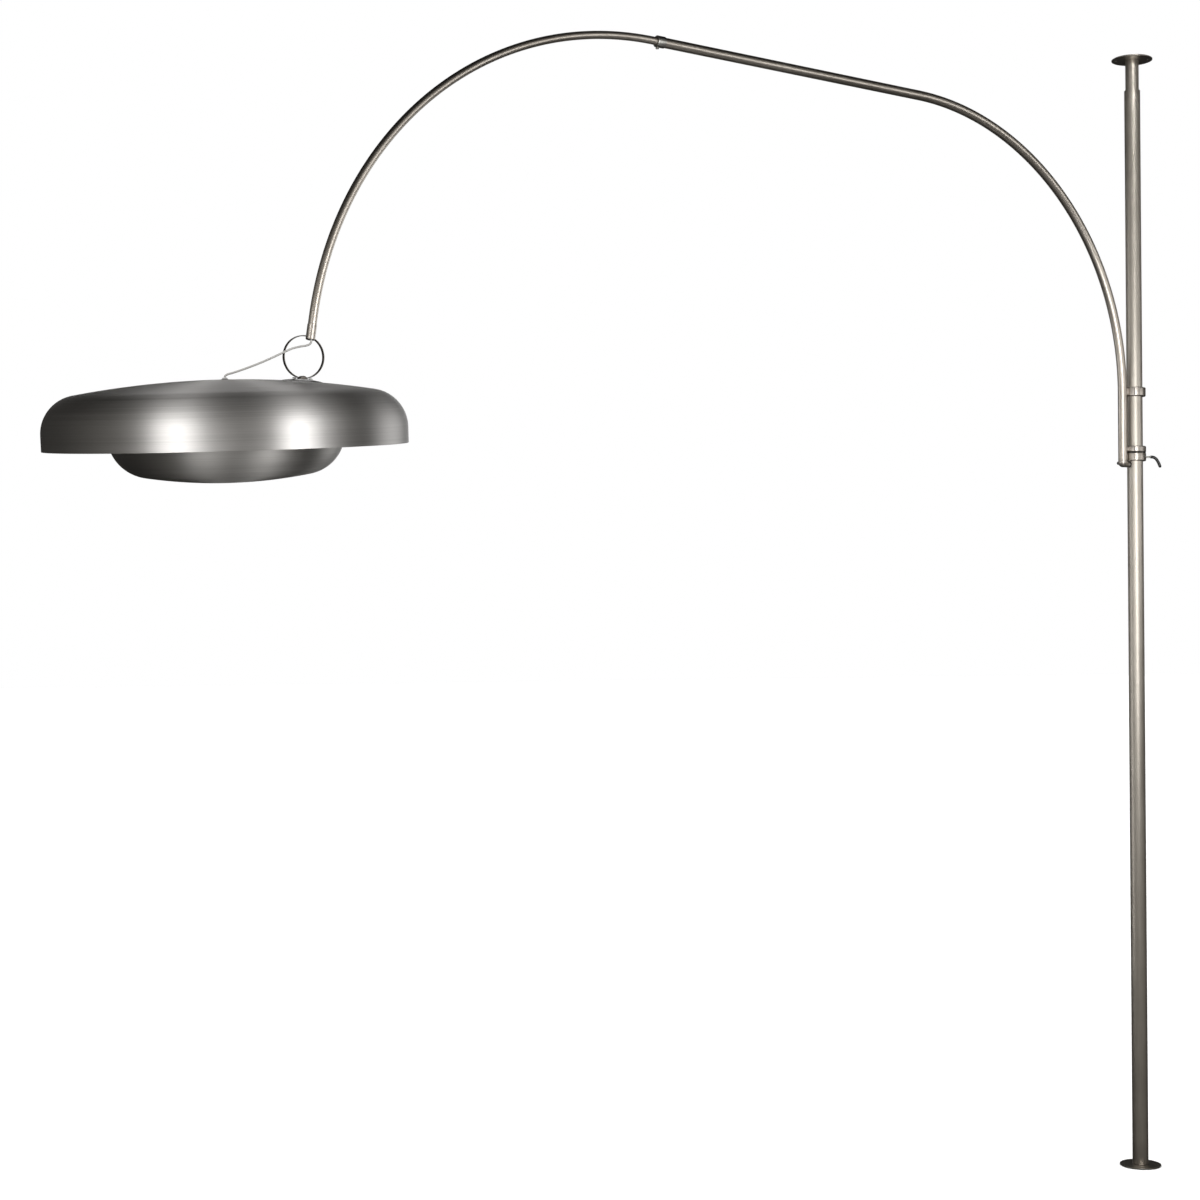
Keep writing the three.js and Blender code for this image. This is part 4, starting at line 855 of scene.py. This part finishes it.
def add_floor():
    """A wide flat floor of pale painted board, 1 mm under the lamp: matt, so that it only shows
    soft shadow. It is left out of reflections."""
    side = np.linspace(-FLOOR_HALF, FLOOR_HALF, 3)
    x, y = np.meshgrid(side, side, indexing="ij")
    mesh = build_mesh("floor", [flat_patch(np.stack([x, y, np.full(x.shape, FLOOR_LEVEL)], -1))])
    floor = bpy.data.objects.new("floor", mesh)
    bpy.context.scene.collection.objects.link(floor)
    floor.visible_glossy = False
    material, tree, shader = new_material("painted_pale_board", Roughness=0.9)
    solid = add_node(tree, "ShaderNodeTexCoord").outputs["Object"]
    mottle = add_node(tree, "ShaderNodeTexNoise", {
        "Vector": solid, "Scale": per_metre(100 / 3), "Detail": 3.0, "Roughness": SOFTNESS}).outputs["Fac"]
    ramp = add_node(tree, "ShaderNodeValToRGB", {"Fac": mottle}, [(0.3, "#f3f3f2"), (0.7, "#f7f7f6")])
    tree.links.new(ramp.outputs["Color"], shader.inputs["Base Color"])
    floor.data.materials.append(material)


def add_lamp(name, kind, place, target, power):
    """A light that looks from its place at a target and is not itself in view."""
    data = bpy.data.lights.new(name, kind)
    data.energy = power
    lamp = bpy.data.objects.new(name, data)
    lamp.location = place
    lamp.rotation_euler = (Vector(target) - Vector(place)).to_track_quat("-Z", "Y").to_euler()
    lamp.visible_camera = False
    bpy.context.scene.collection.objects.link(lamp)
    return lamp


def add_softbox(name, place, target, width, height, power, spread):
    """A soft box. A spread of few degrees keeps its light on the thing it is aimed at."""
    lamp = add_lamp(name, "AREA", place, target, power)
    lamp.data.shape = "RECTANGLE"
    lamp.data.size, lamp.data.size_y = width, height
    lamp.data.spread = spread * DEG
    return lamp


def add_sky_light():
    """Even light from above for floor and flex, which polished metal does not show."""
    sky = add_lamp("sky_light", "SUN", (0, 0, 6), (0.6, 0.8, 0), 4.2)
    sky.data.angle = 120 * DEG
    sky.visible_glossy = False


def add_world():
    """A white studio behind the lamp. What its metal reflects is a dim room: dark above, lighter
    round the horizon, and darker at the back than at the front, so that tubes keep dark edges."""
    world = bpy.data.worlds.new("studio")
    bpy.context.scene.world = world
    world.use_nodes = True
    tree = world.node_tree
    rays = add_node(tree, "ShaderNodeLightPath")
    white = add_node(tree, "ShaderNodeBackground", {"Color": linear("#ffffff"), "Strength": 1.0})
    heading = add_node(tree, "ShaderNodeTexCoord").outputs["Generated"]
    height = add_node(tree, "ShaderNodeSeparateXYZ", {"Vector": heading}).outputs["Z"]
    level = add_node(tree, "ShaderNodeMapRange", {
        "Value": height, "From Min": -1.0, "From Max": 1.0}).outputs["Result"]
    room = add_node(tree, "ShaderNodeValToRGB", {"Fac": level}, [
        (0.0, "#716f6c"), (0.36, "#64625f"), (0.48, "#a5a39e"), (0.66, "#a5a39e"), (0.8, "#1c1b1a"),
        (1.0, "#0c0c0c")]).outputs["Color"]
    facing = add_node(tree, "ShaderNodeVectorMath", {0: heading, 1: ROOM_FRONT},
                      operation="DOT_PRODUCT").outputs["Value"]
    share = add_node(tree, "ShaderNodeMapRange", {
        "Value": facing, "From Min": -1.0, "From Max": 1.0}).outputs["Result"]
    depth = add_node(tree, "ShaderNodeValToRGB", {"Fac": share}, [
        (0.0, "#505050"), (0.4, "#8c8c8c"), (0.8, "#ffffff")]).outputs["Color"]
    room = add_node(tree, "ShaderNodeMix", {"Factor": 1.0, "A": room, "B": depth},
                    data_type="RGBA", blend_type="MULTIPLY").outputs["Result"]
    room = add_node(tree, "ShaderNodeBackground", {"Color": room, "Strength": 1.0})
    mix = add_node(tree, "ShaderNodeMixShader", {
        "Fac": rays.outputs["Is Camera Ray"], 1: room.outputs["Background"], 2: white.outputs["Background"]})
    tree.links.new(mix.outputs["Shader"], tree.nodes["World Output"].inputs["Surface"])


SHADE_MIDDLE, BOWL_MIDDLE = (-2.32, 0.02, 1.69), (-2.32, 0.02, 1.5)
# Name, place, target, width and height in metres, power in watts, spread in degrees.
SOFTBOXES = [
    ("right_softbox", (-1.38, -2.32, 1.7), (-1.15, 0, 1.65), 0.85, 1.35, 39, 180),
    ("left_softbox", (-4.0, -1.4, 1.75), SHADE_MIDDLE, 0.9, 1.1, 3.7, 60),
    ("rim_softbox", (-0.75, 0.4, 1.75), SHADE_MIDDLE, 1.6, 1.2, 1.0, 55),
    ("back_softbox", (-1.58, 1.97, 3.0), SHADE_MIDDLE, 1.0, 0.6, 0.15, 28),
    ("bowl_softbox", (-1.8, -0.9, 0.2), BOWL_MIDDLE, 6.0, 1.4, 3.0, 60),
    ("pole_softbox", (-1.9, 1.08, 1.4), (0, 0, 1.35), 0.5, 2.4, 1.0, 50),
    ("arm_softbox", (1.4, -3.9, 2.0), (-1.1, 0, 2.5), 3.4, 0.9, 3.4, 60),
    ("far_softbox", (1.5, 5.0, 2.3), (-1.2, 0, 1.6), 1.8, 2.4, 14, 180),
    ("upper_softbox", (-1.24, -2.73, 3.7), (0, 0, 2.6), 0.4, 0.6, 1.2, 40),
    ("left_bounce", (-3.6, -1.6, 0.2), BOWL_MIDDLE, 1.5, 1.5, 1.6, 60),
]
add_floor()
add_world()
add_sky_light()
for softbox in SOFTBOXES:
    add_softbox(*softbox)

bpy.context.scene.view_settings.view_transform = "Standard"
